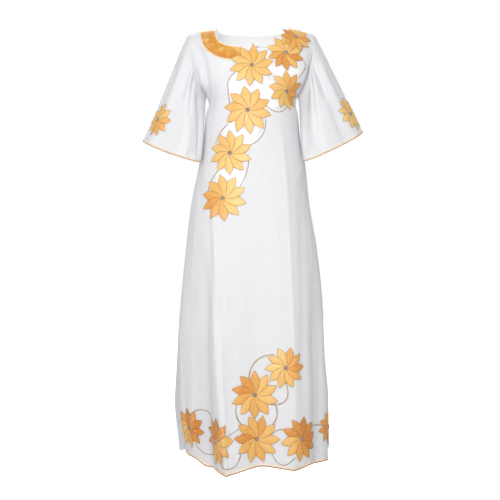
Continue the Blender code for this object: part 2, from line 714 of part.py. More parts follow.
def make_bead(name, surface, hand, start, flower):
    # The round bead cluster at a flower's middle, a flat dome just over the satin.
    place = surface(np.array([start[0]]), np.array([start[1]]))[0]
    normal = outward(surface, np.array([start[0]]), np.array([start[1]]), hand)[0]
    work = bmesh.new()
    bmesh.ops.create_uvsphere(work, u_segments=8, v_segments=5, radius=1.0)
    size = Matrix.Diagonal((BEAD_RADIUS, BEAD_RADIUS, BEAD_HEIGHT, 1.0))
    facing = Vector(normal).to_track_quat("Z", "Y").to_matrix().to_4x4()
    bmesh.ops.transform(work, matrix=Matrix.Translation(place) @ facing @ size, verts=work.verts)
    points = np.array([v.co for v in work.verts])
    faces = [[v.index for v in face.verts] for face in work.faces]
    satin = tree_of(flower)
    lift = BEAD_HEIGHT - height_over([satin], [place], [normal])
    while BVHTree.FromPolygons([tuple(p) for p in points + normal * lift], faces).overlap(satin):
        lift += LIFT_STEP
    bmesh.ops.translate(work, vec=Vector(normal * (lift + LAY_GAP)), verts=work.verts)
    mesh = bpy.data.meshes.new(name)
    work.to_mesh(mesh)
    work.free()
    return add_object(name, mesh, "bead")


def make_neck_band(front):
    # Orange satin round the left half of the neck, from the shoulder seam to the first flower.
    turns = np.linspace(-BAND_START, BAND_END / NECK_HALF, BAND_PIECES + 1)
    us = []
    vs = []
    for turn in turns:
        width = BAND_WIDTH + BAND_FLARE * max(0.0, -turn) ** 6
        widths = np.linspace(BAND_EDGE, width, 4)
        ahead_u, ahead_v = neck_edge(np.array([turn + 0.01]), "front")
        here_u, here_v = neck_edge(np.array([turn]), "front")
        ahead = front_point(ahead_u, ahead_v)[0] - front_point(here_u, here_v)[0]
        right, down = cloth_frame(front_point, here_u, here_v)
        bearing = math.degrees(math.atan2(-ahead @ down[0], ahead @ right[0])) - 90
        u, v = walk(front_point, (here_u[0], here_v[0]), np.full(len(widths), bearing), widths)
        us.append(u)
        vs.append(np.maximum(v, 2 * SEAM_GAP))
    u = np.concatenate(us)
    v = np.concatenate(vs)
    count = len(widths)
    faces = []
    for i in range(len(turns) - 1):
        for j in range(count - 1):
            a = i * count + j
            faces += [(a, a + 1, a + count + 1), (a, a + count + 1, a + count)]
    rim = [j for j in range(count)]
    rim += [i * count + count - 1 for i in range(1, len(turns))]
    rim += [(len(turns) - 1) * count + j for j in range(count - 2, -1, -1)]
    rim += [i * count for i in range(len(turns) - 2, 0, -1)]
    return laid_piece("neck_band", "band satin", front_point, -1.0, u, v, faces, rim, [tree_of(front)])


def make_piping(name, places, closed):
    # A round piping sewn under an edge, through the places given.
    curve = bpy.data.curves.new(name, "CURVE")
    curve.dimensions = "3D"
    curve.bevel_depth = PIPING_RADIUS
    curve.bevel_resolution = 2
    curve.use_fill_caps = not closed
    spline = curve.splines.new("POLY")
    spline.points.add(len(places) - 1)
    for point, place in zip(spline.points, places):
        point.co = (place[0], place[1], place[2], 1.0)
    spline.use_cyclic_u = closed
    made = bpy.data.objects.new(name, curve)
    curve.materials.append(material("piping"))
    bpy.data.collections[NAME].objects.link(made)
    return made


def make_hem_piping():
    across, down = panel_grid("front", FRONT_COLUMNS)
    edge = front_point(across[-1], down[-1])
    before = front_point(across[-2], down[-2])
    away = unit(edge - before)
    places = edge + away * (PIPING_RADIUS + 2 * SEAM_GAP)
    places[0] += unit(places[1] - places[0]) * 2 * SEAM_GAP
    places[-1] += unit(places[-2] - places[-1]) * 2 * SEAM_GAP
    return make_piping("hem_piping", places, False)


def make_cuff_piping(sleeve, surface):
    turns = np.linspace(0, 360, CUFF_PIECES, endpoint=False)
    edge = surface(turns, np.ones_like(turns))
    before = surface(turns, np.full_like(turns, 0.95))
    places = edge + unit(edge - before) * (PIPING_RADIUS + 2 * SEAM_GAP)
    return make_piping(sleeve["name"].replace("sleeve", "cuff_piping"), places, True)


def build():
    for old in list(bpy.data.objects):
        bpy.data.objects.remove(old, do_unlink=True)
    bpy.context.scene.collection.children.link(bpy.data.collections.new(NAME))
    sleeves = rows_of(SLEEVE_COLUMNS, SLEEVES)
    surfaces = {sleeve["side"]: sleeve_surface(sleeve) for sleeve in sleeves}
    front = make_panel("front_panel", "front", FRONT_COLUMNS, surfaces)
    make_panel("back_panel", "back", BACK_COLUMNS, surfaces)
    walls = {}
    for sleeve in sleeves:
        walls[sleeve["name"]] = make_sleeve(sleeve, surfaces[sleeve["side"]])
        make_cuff_piping(sleeve, surfaces[sleeve["side"]])
    make_hem_piping()
    laid = [tree_of(front), tree_of(make_neck_band(front))]
    for flower in rows_of(FLOWER_COLUMNS, FLOWERS):
        start = (flower["across"], flower["down"])
        finish = "hem petal satin" if flower["down"] > 1.0 else "petal satin"
        made = make_flower(flower["name"], front_point, -1.0, start, flower["radius"],
                           flower["turn"], laid, finish)
        laid.append(tree_of(made))
        make_bead(flower["name"].replace("flower", "bead"), front_point, -1.0, start, made)
    for flower in rows_of(SLEEVE_FLOWER_COLUMNS, SLEEVE_FLOWERS):
        sleeve = next(s for s in sleeves if s["name"] == flower["sleeve"])
        surface = surfaces[sleeve["side"]]
        start = (flower["round"], flower["along"])
        made = make_flower(flower["name"], surface, sleeve["side"], start, flower["radius"],
                           flower["turn"], [tree_of(walls[flower["sleeve"]])], "petal satin")
        make_bead(flower["name"].replace("flower", "bead"), surface, sleeve["side"], start, made)


build()
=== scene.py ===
# Maxi dress in its worn shape: white woven cloth with a rounded square neck and flared elbow
# sleeves, an orange satin band on half of the neck, pieced satin flowers with bead middles,
# stitched vines, and a piped hem and cuffs. Metres, +Z up, the front faces -Y.
import math
from functools import partial

import bpy
import numpy as np
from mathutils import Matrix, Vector


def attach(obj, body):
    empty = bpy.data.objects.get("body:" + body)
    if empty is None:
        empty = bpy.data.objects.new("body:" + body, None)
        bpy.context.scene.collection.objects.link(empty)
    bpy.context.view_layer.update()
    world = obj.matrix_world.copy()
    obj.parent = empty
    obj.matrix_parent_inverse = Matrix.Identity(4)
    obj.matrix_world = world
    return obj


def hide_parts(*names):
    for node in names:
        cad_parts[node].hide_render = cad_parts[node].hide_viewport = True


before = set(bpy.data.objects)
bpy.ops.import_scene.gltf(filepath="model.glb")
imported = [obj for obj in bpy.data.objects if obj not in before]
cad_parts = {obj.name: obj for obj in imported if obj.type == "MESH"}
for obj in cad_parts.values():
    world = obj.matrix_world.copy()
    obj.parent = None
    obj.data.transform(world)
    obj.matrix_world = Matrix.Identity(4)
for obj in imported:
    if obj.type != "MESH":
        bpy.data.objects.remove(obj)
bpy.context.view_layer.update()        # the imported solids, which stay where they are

print("frame loaded,", len(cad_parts), "solids")

# The pattern. A drop is measured down from the shoulder line, where the dress is held.
pattern = {
    "neckHalf": 0.1085,          # half the neck opening, along the shoulder line
    "neckDrop": {"front": 0.076, "back": 0.011},
    "neckSquare": {"front": 3.3, "back": 2.4},      # 2 is an ellipse, more is a rounder square
    "shoulderHalf": 0.195,
    "shoulderDrop": 0.019,
    "shoulderSlope": 0.12,
    "rounding": 0.09,            # height in which the cloth turns from the shoulder to the chest
    "underarmDrop": 0.214,
    "hemDrop": 1.332,
    "halvesMeet": 0.24,          # how far across the left half runs into the right one
    "neckShare": 0.46,           # share of a panel's columns that end at the neck
    "cloth": 0.0010,             # thickness of the white cloth
    "seamHalf": 0.00015,         # each piece stops this far from a seam's line
}
handOf = {"front": -1.0, "back": 1.0}      # way in which a panel faces, and its outward hand

# Level sections of the body: widths to the side seams, depths to the front and back.
sectionNames = ("drop", "left", "right", "front", "back", "leftSquare", "rightSquare", "backSquare")
sectionRows = (
    (0.0, 0.21, 0.208, 0.088, 0.072, 2.2, 2.2, 2.3),
    (0.08, 0.216, 0.214, 0.095, 0.094, 2.2, 2.2, 2.3),
    (0.13, 0.203, 0.203, 0.108, 0.104, 2.2, 2.2, 2.3),
    (0.18, 0.172, 0.175, 0.117, 0.108, 2.2, 2.2, 2.3),
    (0.214, 0.1415, 0.145, 0.122, 0.108, 2.2, 2.2, 2.3),
    (0.24, 0.134, 0.139, 0.124, 0.106, 2.2, 2.2, 2.3),
    (0.275, 0.145, 0.1465, 0.125, 0.104, 2.2, 2.2, 2.3),
    (0.32, 0.1485, 0.15, 0.124, 0.1, 2.2, 2.2, 2.2),
    (0.38, 0.156, 0.159, 0.122, 0.098, 2.2, 2.3, 2.2),
    (0.43, 0.165, 0.169, 0.124, 0.102, 2.2, 2.3, 2.2),
    (0.553, 0.19, 0.182, 0.136, 0.124, 2.2, 2.4, 2.2),
    (0.705, 0.208, 0.207, 0.15, 0.142, 2.1, 2.4, 2.3),
    (0.857, 0.223, 0.222, 0.16, 0.155, 2.0, 2.5, 2.4),
    (1.009, 0.233, 0.228, 0.17, 0.168, 1.9, 2.5, 2.4),
    (1.161, 0.232, 0.237, 0.18, 0.18, 1.8, 2.5, 2.5),
    (1.332, 0.208, 0.236, 0.188, 0.192, 1.7, 2.6, 2.5),
)
armholeNames = ("way", "round")
armholeRows = ((0.0, 0.757), (0.36, 0.667), (0.58, 0.672), (0.84, 0.78), (1.0, 1.0))

# The large folds that run down the skirt, as the solids have them.
foldNames = ("acrossTop", "acrossHem", "start", "rise", "reachLeft", "reachRight", "crisp", "longer")
foldRows = {"front": (
    (-0.4, -0.19, 0.52, 0.06, 0.11, 0.12, 0.75, 0.024),
    (-0.64, -0.52, 0.6, -0.008, 0.07, 0.12, 0.2, 0.022),
    (-0.86, -0.8, 0.62, 0.006, 0.035, 0.03, 0.2, 0.0),
    (0.38, 0.31, 0.2, 0.028, 0.12, 0.12, 0.7, 0.014),
    (0.62, 0.6, 0.6, -0.01, 0.06, 0.05, 0.2, 0.01),
    (0.8, 0.76, 0.6, 0.008, 0.07, 0.05, 0.3, 0.012),
), "back": (
    (-0.42, -0.46, 0.45, 0.03, 0.08, 0.09, 0.45, 0.008),
    (-0.02, 0.03, 0.5, -0.022, 0.08, 0.07, 0.2, 0.0),
    (0.4, 0.36, 0.4, 0.034, 0.07, 0.09, 0.45, 0.01),
    (-0.86, -0.82, 0.95, 0.04, 0.06, 0.08, 0.2, 0.02),
    (0.84, 0.8, 0.9, 0.028, 0.06, 0.06, 0.2, 0.004),
)}

# Creases pressed or dragged into the cloth. Each runs from one place to another,
# across (1 at the side seam) and drop, then has its bow, half width and height; a trough is negative.
creaseRows = {"front": (
    # pressed ridges and the hollows beside them on the front of the skirt
    (-0.41, 0.534, -0.25, 0.936, 0.0, 0.0049, 0.003),
    (-0.255, 0.891, -0.18, 1.42, 0.0, 0.0049, 0.003),
    (-0.455, 0.64, -0.445, 1.47, 0.0, 0.028, -0.0105),
    (-0.475, 0.56, -0.325, 0.848, 0.003, 0.0122, -0.003),
    (-0.595, 0.851, -0.72, 1.42, 0.0, 0.0137, 0.003),
    (-0.735, 0.946, -0.805, 1.42, 0.0, 0.0076, -0.0025),
    (-0.635, 0.56, -0.625, 0.852, -0.006, 0.0137, 0.0026),
    (-0.165, 0.936, -0.135, 1.45, 0.0, 0.0153, -0.0025),
    (-0.055, 0.592, -0.07, 1.001, 0.003, 0.0214, 0.0013),
    (0.11, 0.516, 0.135, 1.002, 0.0, 0.0183, -0.0014),
    (0.255, 0.654, 0.23, 0.995, 0.0, 0.0153, 0.0014),
    (0.355, 0.626, 0.325, 0.981, 0.0, 0.0044, 0.0026),
    (0.355, 0.287, 0.34, 0.645, 0.009, 0.0067, 0.0016),
    (0.57, 0.514, 0.385, 1.233, 0.0, 0.0153, -0.0036),
    (0.56, 0.82, 0.555, 1.45, 0.0, 0.0122, -0.0042),
    (0.75, 0.853, 0.66, 1.45, 0.0, 0.0076, 0.0024),
    # faint level creases where the dress was folded for storage
    (-0.625, 0.644, -0.285, 0.65, 0.0, 0.004, -0.0011),
    (-0.24, 1.012, -0.14, 1.01, 0.0, 0.004, -0.0011),
    (-0.645, 1.13, -0.285, 1.109, 0.0, 0.0043, -0.0009),
    (0.39, 0.735, 0.855, 0.726, 0.0, 0.0043, -0.0009),
    # drape at the shoulders, chest and waist
    (-0.64, 0.04, -0.78, 0.228, 0.034, 0.015, -0.0095),
    (-0.47, 0.1, -0.965, 0.24, -0.005, 0.008, 0.003),
    (-0.66, 0.14, -0.945, 0.232, 0.005, 0.008, -0.0042),
    (-0.32, 0.155, -0.56, 0.316, 0.005, 0.0137, 0.002),
    (-0.225, 0.123, -0.315, 0.186, 0.0, 0.0107, -0.0016),
    (-0.96, 0.262, -0.72, 0.45, 0.004, 0.0079, -0.0026),
    (-0.7, 0.431, -0.37, 0.589, 0.006, 0.0098, 0.0018),
    (-0.76, 0.474, -0.465, 0.644, 0.003, 0.0092, -0.0019),
    (0.66, 0.06, 0.93, 0.215, -0.004, 0.011, -0.0062),
    (0.94, 0.282, 0.63, 0.445, 0.0, 0.0067, -0.0022),
    (0.92, 0.383, 0.41, 0.521, -0.005, 0.0092, 0.0018),
    (0.73, 0.468, 0.47, 0.588, -0.003, 0.0092, -0.0018),
    (0.75, 0.512, 0.59, 0.808, 0.003, 0.0107, 0.002),
    (0.64, 0.069, 0.595, 0.129, 0.0, 0.0092, -0.0018),
    (-0.06, 1.291, -0.04, 1.42, 0.0, 0.0122, -0.0016),
    (0.285, 1.293, 0.29, 1.42, 0.0, 0.0122, 0.0014),
), "back": (
    (-0.43, 0.56, -0.45, 1.44, 0.004, 0.006, 0.0022),
    (0.39, 0.48, 0.35, 1.44, -0.004, 0.006, 0.0022),
    (-0.18, 0.7, -0.22, 1.44, 0.0, 0.017, -0.003),
    (0.19, 0.62, 0.16, 1.44, 0.004, 0.015, -0.0026),
    (-0.64, 0.5, -0.66, 1.05, 0.006, 0.013, -0.003),
    (0.62, 0.56, 0.6, 1.16, -0.005, 0.012, -0.0032),
    (0.02, 0.88, 0.0, 1.44, 0.0, 0.011, 0.0016),
    (-0.7, 0.3, -0.18, 0.402, 0.01, 0.01, 0.003),
    (-0.66, 0.345, -0.12, 0.45, 0.012, 0.009, -0.003),
    (0.72, 0.31, 0.23, 0.392, -0.012, 0.01, 0.0028),
    (0.68, 0.356, 0.16, 0.446, -0.01, 0.009, -0.0028),
    (-0.56, 0.405, -0.26, 0.47, 0.006, 0.007, 0.0018),
    (0.56, 0.412, 0.3, 0.476, -0.006, 0.007, 0.0018),
    (-0.52, 0.08, -0.76, 0.205, -0.006, 0.009, -0.0024),
    (0.5, 0.09, 0.78, 0.2, 0.006, 0.009, -0.0024),
    (-0.36, 0.12, -0.52, 0.27, -0.004, 0.013, 0.002),
    (0.34, 0.12, 0.54, 0.26, 0.005, 0.013, 0.0018),
    (-0.64, 0.652, 0.64, 0.648, 0.0, 0.0042, -0.001),
    (-0.52, 1.012, 0.56, 1.01, 0.0, 0.0042, -0.001),
)}

# Sleeves: the outer and inner end of the cuff as across, drop and how far in front.
sleeveRows = {
    "sleeve_left": {"side": -1, "outer": (0.3420, 0.3500), "inner": (0.1580, 0.4210, 0.060)},
    "sleeve_right": {"side": 1, "outer": (0.3500, 0.3220), "inner": (0.1610, 0.4190, 0.064)},
}
sleeveShape = {
    "topLead": (0.100, 0.190),       # across and down, how the top line sets off
    "topEnd": (0.165, 0.330),        # and how it arrives at the cuff
    "underLead": (0.026, 0.080),
    "underEnd": (0.050, 0.220),
    "underForward": 0.040,           # how strongly the underarm line sets off to the front
    "cuffTilt": 0.014,
    "flare": 0.066,                  # half the cuff, front to back
    "perDegree": 0.00125,            # metres of cloth for a degree round it
    "length": 0.34,
    "creaseScale": 1.4,
}
sleeveFoldRows = ((42.0, 0.0045, 20.0), (72.0, -0.005, 20.0), (104.0, 0.005, 22.0),
                  (136.0, -0.004, 18.0), (-55.0, 0.0045, 26.0), (-100.0, -0.0045, 24.0))
# Creases of the sleeves: turn round the sleeve (90 in front) and share of its length, twice, and
# then as on the panels.
sleeveCreaseRows = {"sleeve_left": (
    (96, 0.06, 78, 0.56, 0.004, 0.008, -0.0042), (112, 0.04, 98, 0.4, 0.003, 0.007, 0.003),
    (128, 0.1, 112, 0.62, 0.0, 0.007, -0.0034), (60, 0.1, 52, 0.98, 0.0, 0.015, 0.003),
    (34, 0.25, 30, 1.05, 0.0, 0.012, -0.0022), (92, 0.55, 88, 1.1, 0.0, 0.013, -0.003),
    (120, 0.62, 118, 1.1, 0.0, 0.009, 0.0026), (148, 0.86, 112, 0.97, 0.004, 0.005, -0.0022),
    (158, 0.1, 154, 1.06, 0.0, 0.015, -0.0074), (-40, 0.1, -46, 0.9, 0.005, 0.012, -0.003),
    (-84, 0.16, -70, 1.05, 0.0, 0.011, 0.003), (-122, 0.08, -112, 0.7, 0.0, 0.009, -0.0034),
), "sleeve_right": (
    (92, 0.04, 74, 0.62, -0.003, 0.008, -0.0044), (106, 0.05, 96, 0.5, 0.002, 0.007, 0.0032),
    (124, 0.06, 112, 0.9, 0.0, 0.008, -0.0036), (58, 0.16, 50, 1.02, 0.0, 0.013, 0.0034),
    (38, 0.3, 36, 0.92, 0.0, 0.01, -0.0024), (84, 0.5, 78, 1.1, 0.0, 0.011, 0.0024),
    (146, 0.84, 108, 0.95, 0.005, 0.005, -0.0026), (138, 0.93, 104, 0.99, -0.003, 0.004, 0.0018),
    (158, 0.08, 152, 1.06, 0.0, 0.023, -0.0086), (-36, 0.12, -44, 0.86, 0.004, 0.012, -0.0028),
    (-80, 0.1, -66, 1.05, 0.0, 0.012, 0.003), (-118, 0.1, -110, 0.66, 0.0, 0.009, -0.0032),
)}
relief = {
    "seamDepth": 0.0011, "seamReach": 0.0045,     # how the cloth dips along a seam
    "sideAbove": 0.01,                            # the side seam shows from this far above the underarm
    "shoulderReach": 0.03,
    "creaseFade": 0.22,                           # share of a crease in which it fades in or out
}


def columnsOf(names, rows):
    return {name: np.array(column) for name, column in zip(names, zip(*rows))}


def rowsOf(names, rows):
    return [dict(zip(names, row)) for row in rows]


sections = columnsOf(sectionNames, sectionRows)
armhole = columnsOf(armholeNames, armholeRows)


def eased(share):
    share = np.clip(share, 0.0, 1.0)
    return share * share * (3 - 2 * share)


def hump(away):
    return 0.5 * (1 + np.cos(math.pi * np.clip(away, 0.0, 1.0)))


def unit(vectors):
    return vectors / np.maximum(np.linalg.norm(vectors, axis=-1, keepdims=True), 1e-12)


def dot(a, b):
    return np.sum(a * b, axis=-1)


def hermite(start, leanStart, end, leanEnd, s):
    return (start * (1 + 2 * s) * (1 - s) ** 2 + leanStart * s * (1 - s) ** 2
            + end * s * s * (3 - 2 * s) + leanEnd * s * s * (s - 1))


def smoothCurve(at, xs, ys):
    # a curve through the values that does not overshoot between them
    at = np.clip(np.asarray(at, float), xs[0], xs[-1])
    step = np.diff(xs)
    slope = np.diff(ys) / step
    lean = np.zeros(len(xs))
    rising = slope[:-1] * slope[1:] > 0
    lean[1:-1][rising] = 2.0 / (1.0 / slope[:-1][rising] + 1.0 / slope[1:][rising])
    lean[0], lean[-1] = slope[0], slope[-1]
    k = np.clip(np.searchsorted(xs, at, side="right") - 1, 0, len(step) - 1)
    return hermite(ys[k], step[k] * lean[k], ys[k + 1], step[k] * lean[k + 1], (at - xs[k]) / step[k])


def section(drop, name):
    return smoothCurve(drop, sections["drop"], sections[name])


def halfWidth(across, drop):
    # the two halves differ in width, so one runs into the other at the middle
    share = eased(0.5 + np.asarray(across, float) / pattern["halvesMeet"])
    return section(drop, "left") * (1 - share) + section(drop, "right") * share


def fromMiddle(across, drop):
    # distance from the middle line, on the flat cloth
    return across * halfWidth(across, drop) * math.pi / 2


def roundShare(across, square):
    # sine and cosine of a turn round a section, pushed out towards its corners
    angle = np.asarray(across, float) * math.pi / 2
    s, c = np.sin(angle), np.cos(angle)
    out = (np.abs(s) ** square + np.abs(c) ** square) ** (-1.0 / square)
    return s * out, c * out


def shoulderLine(across):
    away = np.abs(halfWidth(across, 0.0) * np.sin(across * math.pi / 2)) - pattern["neckHalf"]
    width = pattern["shoulderHalf"] - pattern["neckHalf"]
    bend = (pattern["shoulderDrop"] - pattern["shoulderSlope"] * width) / width ** 2
    return pattern["shoulderSlope"] * away + bend * np.maximum(away, 0.0) ** 2


def dropAt(across, down):
    # along the cloth from the shoulder line: a quarter turn first, then straight down
    rounding = pattern["rounding"]
    turn = np.clip(down / rounding, -1.0, 1.0) * math.pi / 2
    rounded = rounding * (1 - np.cos(turn)) + np.maximum(down - rounding, 0.0)
    return shoulderLine(across) + rounded, np.sin(turn)


def downAt(across, drop):
    rounding = pattern["rounding"]
    below = np.maximum(drop - shoulderLine(across), 0.0)
    turned = np.arccos(np.clip(1 - below / rounding, 0.0, 1.0)) * rounding * 2 / math.pi
    return np.where(below < rounding, turned, below)


def foldPush(panel, across, drop):
    # outward push of the large folds, and how much longer the cloth hangs on them
    push = np.zeros(np.broadcast(across, drop).shape)
    longer = np.zeros_like(push)
    half = halfWidth(across, drop)
    for fold in rowsOf(foldNames, foldRows[panel]):
        grown = np.clip((drop - fold["start"]) / (pattern["hemDrop"] - fold["start"]), 0.0, 1.0)
        centre = fold["acrossTop"] + (fold["acrossHem"] - fold["acrossTop"]) * grown
        away = (across - centre) * half * math.pi / 2
        k = np.clip(np.abs(away) / np.where(away < 0, fold["reachLeft"], fold["reachRight"]), 0.0, 1.0)
        shape = fold["crisp"] * (1 - k) ** 2 + (1 - fold["crisp"]) * hump(k)
        push = push + fold["rise"] * grown ** 0.8 * shape
        longer = longer + fold["longer"] * shape
    fade = 1 - np.abs(np.clip(across, -1.0, 1.0)) ** 8
    return push * fade, longer * fade


def bodyPoint(panel, across, down):
    across, down = np.broadcast_arrays(np.asarray(across, float), np.asarray(down, float))
    drop, turned = dropAt(across, down)
    half, depth = halfWidth(across, drop), section(drop, panel)
    square = section(drop, "backSquare")
    if panel == "front":
        square = np.where(across < 0, section(drop, "leftSquare"), section(drop, "rightSquare"))
    s, c = roundShare(across, square)
    push, _ = foldPush(panel, across, drop)
    norm = np.sqrt((s / half) ** 2 + (c / depth) ** 2)
    x = half * s + push * (s / half) / norm
    y = handOf[panel] * (depth * c * turned + push * (c / depth) / norm)
    return np.stack([x, y, -drop], axis=-1)


plainFront = partial(bodyPoint, "front")


def tangents(surface, u, v, step=1e-4):
    alongU = (surface(u + step, v) - surface(u - step, v)) / (2 * step)
    alongV = (surface(u, v + step) - surface(u, v - step)) / (2 * step)
    return alongU, alongV


def outward(surface, u, v, hand):
    return hand * unit(np.cross(*tangents(surface, u, v)))


def creaseHeight(rows, x, y):
    # height of all creases at some places; each row is (x0, y0, x1, y1, bow, width, height)
    total = np.zeros(np.broadcast(x, y).shape)
    for x0, y0, x1, y1, bow, width, height in rows:
        length = math.hypot(x1 - x0, y1 - y0)
        ax, ay = (x1 - x0) / length, (y1 - y0) / length
        s = ((x - x0) * ax + (y - y0) * ay) / length
        away = (x - x0) * ay - (y - y0) * ax - bow * 4 * s * (1 - s)
        fade = eased(np.minimum(s, 1 - s) / relief["creaseFade"])
        total = total + height * fade * np.exp(-(away / width) ** 2)
    return total


def pinch(distance):
    return -relief["seamDepth"] * np.exp(-(np.maximum(distance, 0.0) / relief["seamReach"]) ** 2)


def bodyCloth(panel):
    # the front or back cloth with its creases
    creases = [(fromMiddle(across0, drop0), drop0, fromMiddle(across1, drop1), drop1, *form)
               for across0, drop0, across1, drop1, *form in creaseRows[panel]]

    base = partial(bodyPoint, panel)

    def surface(across, down):
        across, down = np.broadcast_arrays(np.asarray(across, float), np.asarray(down, float))
        drop, _ = dropAt(across, down)
        beside = (1 - np.abs(across)) * halfWidth(across, drop) * math.pi / 2
        height = creaseHeight(creases, fromMiddle(across, drop), drop)
        height = height + pinch(beside) * (drop > pattern["underarmDrop"] - relief["sideAbove"])
        height = height + pinch(down) * (down < relief["shoulderReach"])
        normals = outward(base, across, np.maximum(down, 2e-4), handOf[panel])
        return base(across, down) + normals * height[..., None]

    return surface


def armholePlace(side, way):
    whole = pattern["underarmDrop"] - shoulderLine(float(side))
    return side * smoothCurve(way, armhole["way"], armhole["round"]), whole * way


def neckEdge(turn, panel):
    # a place on the neck edge: turn -1 and 1 are its ends on the shoulder seams
    s, c = roundShare(turn, pattern["neckSquare"][panel])
    across = np.arcsin(np.clip(pattern["neckHalf"] * s / halfWidth(turn, 0.0), -1, 1)) * 2 / math.pi
    return across, downAt(across, pattern["neckDrop"][panel] * c)


# How finely each piece of cloth is made
clothGrid = {
    "front": {"columns": 144, "yokeRows": 56, "skirtRows": 250},
    "back": {"columns": 104, "yokeRows": 44, "skirtRows": 170},
    "sleeve": {"turns": 132, "rows": 88, "crowd": 1.05},     # rows crowd towards the armhole
}


def panelGrid(panel):
    # places across and down for each row and column of a panel
    grid, share = clothGrid[panel], pattern["neckShare"]
    shoulder = max(4, grid["columns"] // 8)
    columns = np.concatenate([np.linspace(-1.0, -share, shoulder, endpoint=False),
                              np.linspace(-share, share, grid["columns"] - 2 * shoulder + 1),
                              np.linspace(share, 1.0, shoulder + 1)[1:]])
    side = np.sign(columns)
    shoulderShare = armholeRows[0][1]
    neckAcross, neckDown = neckEdge(np.clip(columns / share, -1, 1), panel)
    neckEnd, _ = neckEdge(np.where(side < 0, -1.0, 1.0), panel)
    inside = np.abs(columns) <= share + 1e-9
    beyond = np.clip((np.abs(columns) - share) / (1 - share), 0, 1)
    topAcross = np.where(inside, neckAcross, neckEnd + side * (shoulderShare - np.abs(neckEnd)) * beyond)
    topDown = np.where(inside, neckDown, 0.0)
    acrossRows, downRows = [], []
    for way in np.arange(grid["yokeRows"] + 1) / grid["yokeRows"]:
        rounding, rightEnd = armholePlace(1, way)
        across = rounding * ((1 - way) * topAcross / shoulderShare + way * columns)
        bottom = pattern["underarmDrop"] - shoulderLine(across)
        ends = np.array([armholePlace(-1, way)[1], rightEnd])
        rowShare = np.interp(columns, (-1.0, 1.0), ends / bottom[[0, -1]])
        acrossRows.append(across)
        downRows.append(topDown * (1 - rowShare) + bottom * rowShare)
    _, longer = foldPush(panel, columns, np.full_like(columns, pattern["hemDrop"]))
    for way in np.arange(1, grid["skirtRows"] + 1) / grid["skirtRows"]:
        drop = pattern["underarmDrop"] + (pattern["hemDrop"] - pattern["underarmDrop"]) * way
        acrossRows.append(columns)
        downRows.append(drop + longer * way ** 6 - shoulderLine(columns))
    return np.array(acrossRows), np.array(downRows)


def sleeveCloth(name):
    # a sleeve's cloth: turn is 0 on its outer line, 90 in front, 180 under the arm
    sleeve, perDegree, length = sleeveRows[name], sleeveShape["perDegree"], sleeveShape["length"]
    side = sleeve["side"]
    ways = np.linspace(0.0, 1.0, 61)
    loops = {panel: bodyPoint(panel, *armholePlace(side, ways)) for panel in handOf}
    loop = np.concatenate([loops["back"][::-1], loops["front"][1:]])
    turns = np.concatenate([-180 * ways[::-1], 180 * ways[1:]])
    outer = np.array([side * sleeve["outer"][0], 0.0, -sleeve["outer"][1]])
    inner = np.array([side * sleeve["inner"][0], -sleeve["inner"][2], -sleeve["inner"][1]])
    middle, arm = (outer + inner) / 2, (outer - inner) / 2
    scales = (perDegree, length, perDegree, length, 1.0, 1.0, sleeveShape["creaseScale"])
    creases = [[value * scale for value, scale in zip(row, scales)] for row in sleeveCreaseRows[name]]

    def wrap(turn, along):
        turn, along = np.broadcast_arrays(np.asarray(turn, float), np.asarray(along, float))
        return (turn + 180.0) % 360.0 - 180.0, along

    def lead(topKey, underKey, weight):
        top, under = sleeveShape[topKey], sleeveShape[underKey]
        across = side * (under[0] + (top[0] - under[0]) * weight)
        down = under[1] + (top[1] - under[1]) * weight
        return np.stack([across, np.zeros_like(across), -down], axis=-1)

    def base(turn, along):
        wrapped, along = wrap(turn, along)
        start = np.stack([np.interp(wrapped, turns, loop[:, axis]) for axis in range(3)], axis=-1)
        angle = np.radians(wrapped)
        sine, cosine = np.sin(angle), np.cos(angle)
        cuff = middle + arm * cosine[..., None]
        cuff = cuff + np.stack([np.zeros_like(angle), -sleeveShape["flare"] * sine,
                                -sleeveShape["cuffTilt"] * sine], axis=-1)
        weight = 0.5 + 0.5 * cosine
        first = lead("topLead", "underLead", weight)
        first[..., 1] -= sleeveShape["underForward"] * (1 - weight)
        last = lead("topEnd", "underEnd", weight)
        place = hermite(start, first, cuff, last, along[..., None])
        push = np.zeros_like(along)
        for centre, rise, reach in sleeveFoldRows:
            push = push + rise * hump(np.abs(wrapped - centre) / reach) * np.clip(along, 0, 1)
        away = unit(np.stack([cosine * arm[0], -sine * sleeveShape["flare"], cosine * arm[2]], axis=-1))
        return place + away * push[..., None]

    def surface(turn, along):
        wrapped, along = wrap(turn, along)
        y = along * length
        height = creaseHeight(creases, wrapped * perDegree, y) + pinch(y)
        height = height + pinch((180 - np.abs(wrapped)) * perDegree)
        normals = outward(base, wrapped, np.maximum(along, 1e-3), side)
        return base(wrapped, along) + normals * height[..., None]

    return surface


frontCloth = bodyCloth("front")
backCloth = bodyCloth("back")
sleeveCloths = {name: sleeveCloth(name) for name in sleeveRows}


def clothFrame(surface, u, v):
    # directions to the viewer's right and down along a cloth
    alongU, alongV = tangents(surface, u, v)
    right = unit(alongU)
    right = np.where(right[..., :1] < 0, -right, right)
    return right, unit(alongV - right * dot(alongV, right)[..., None])


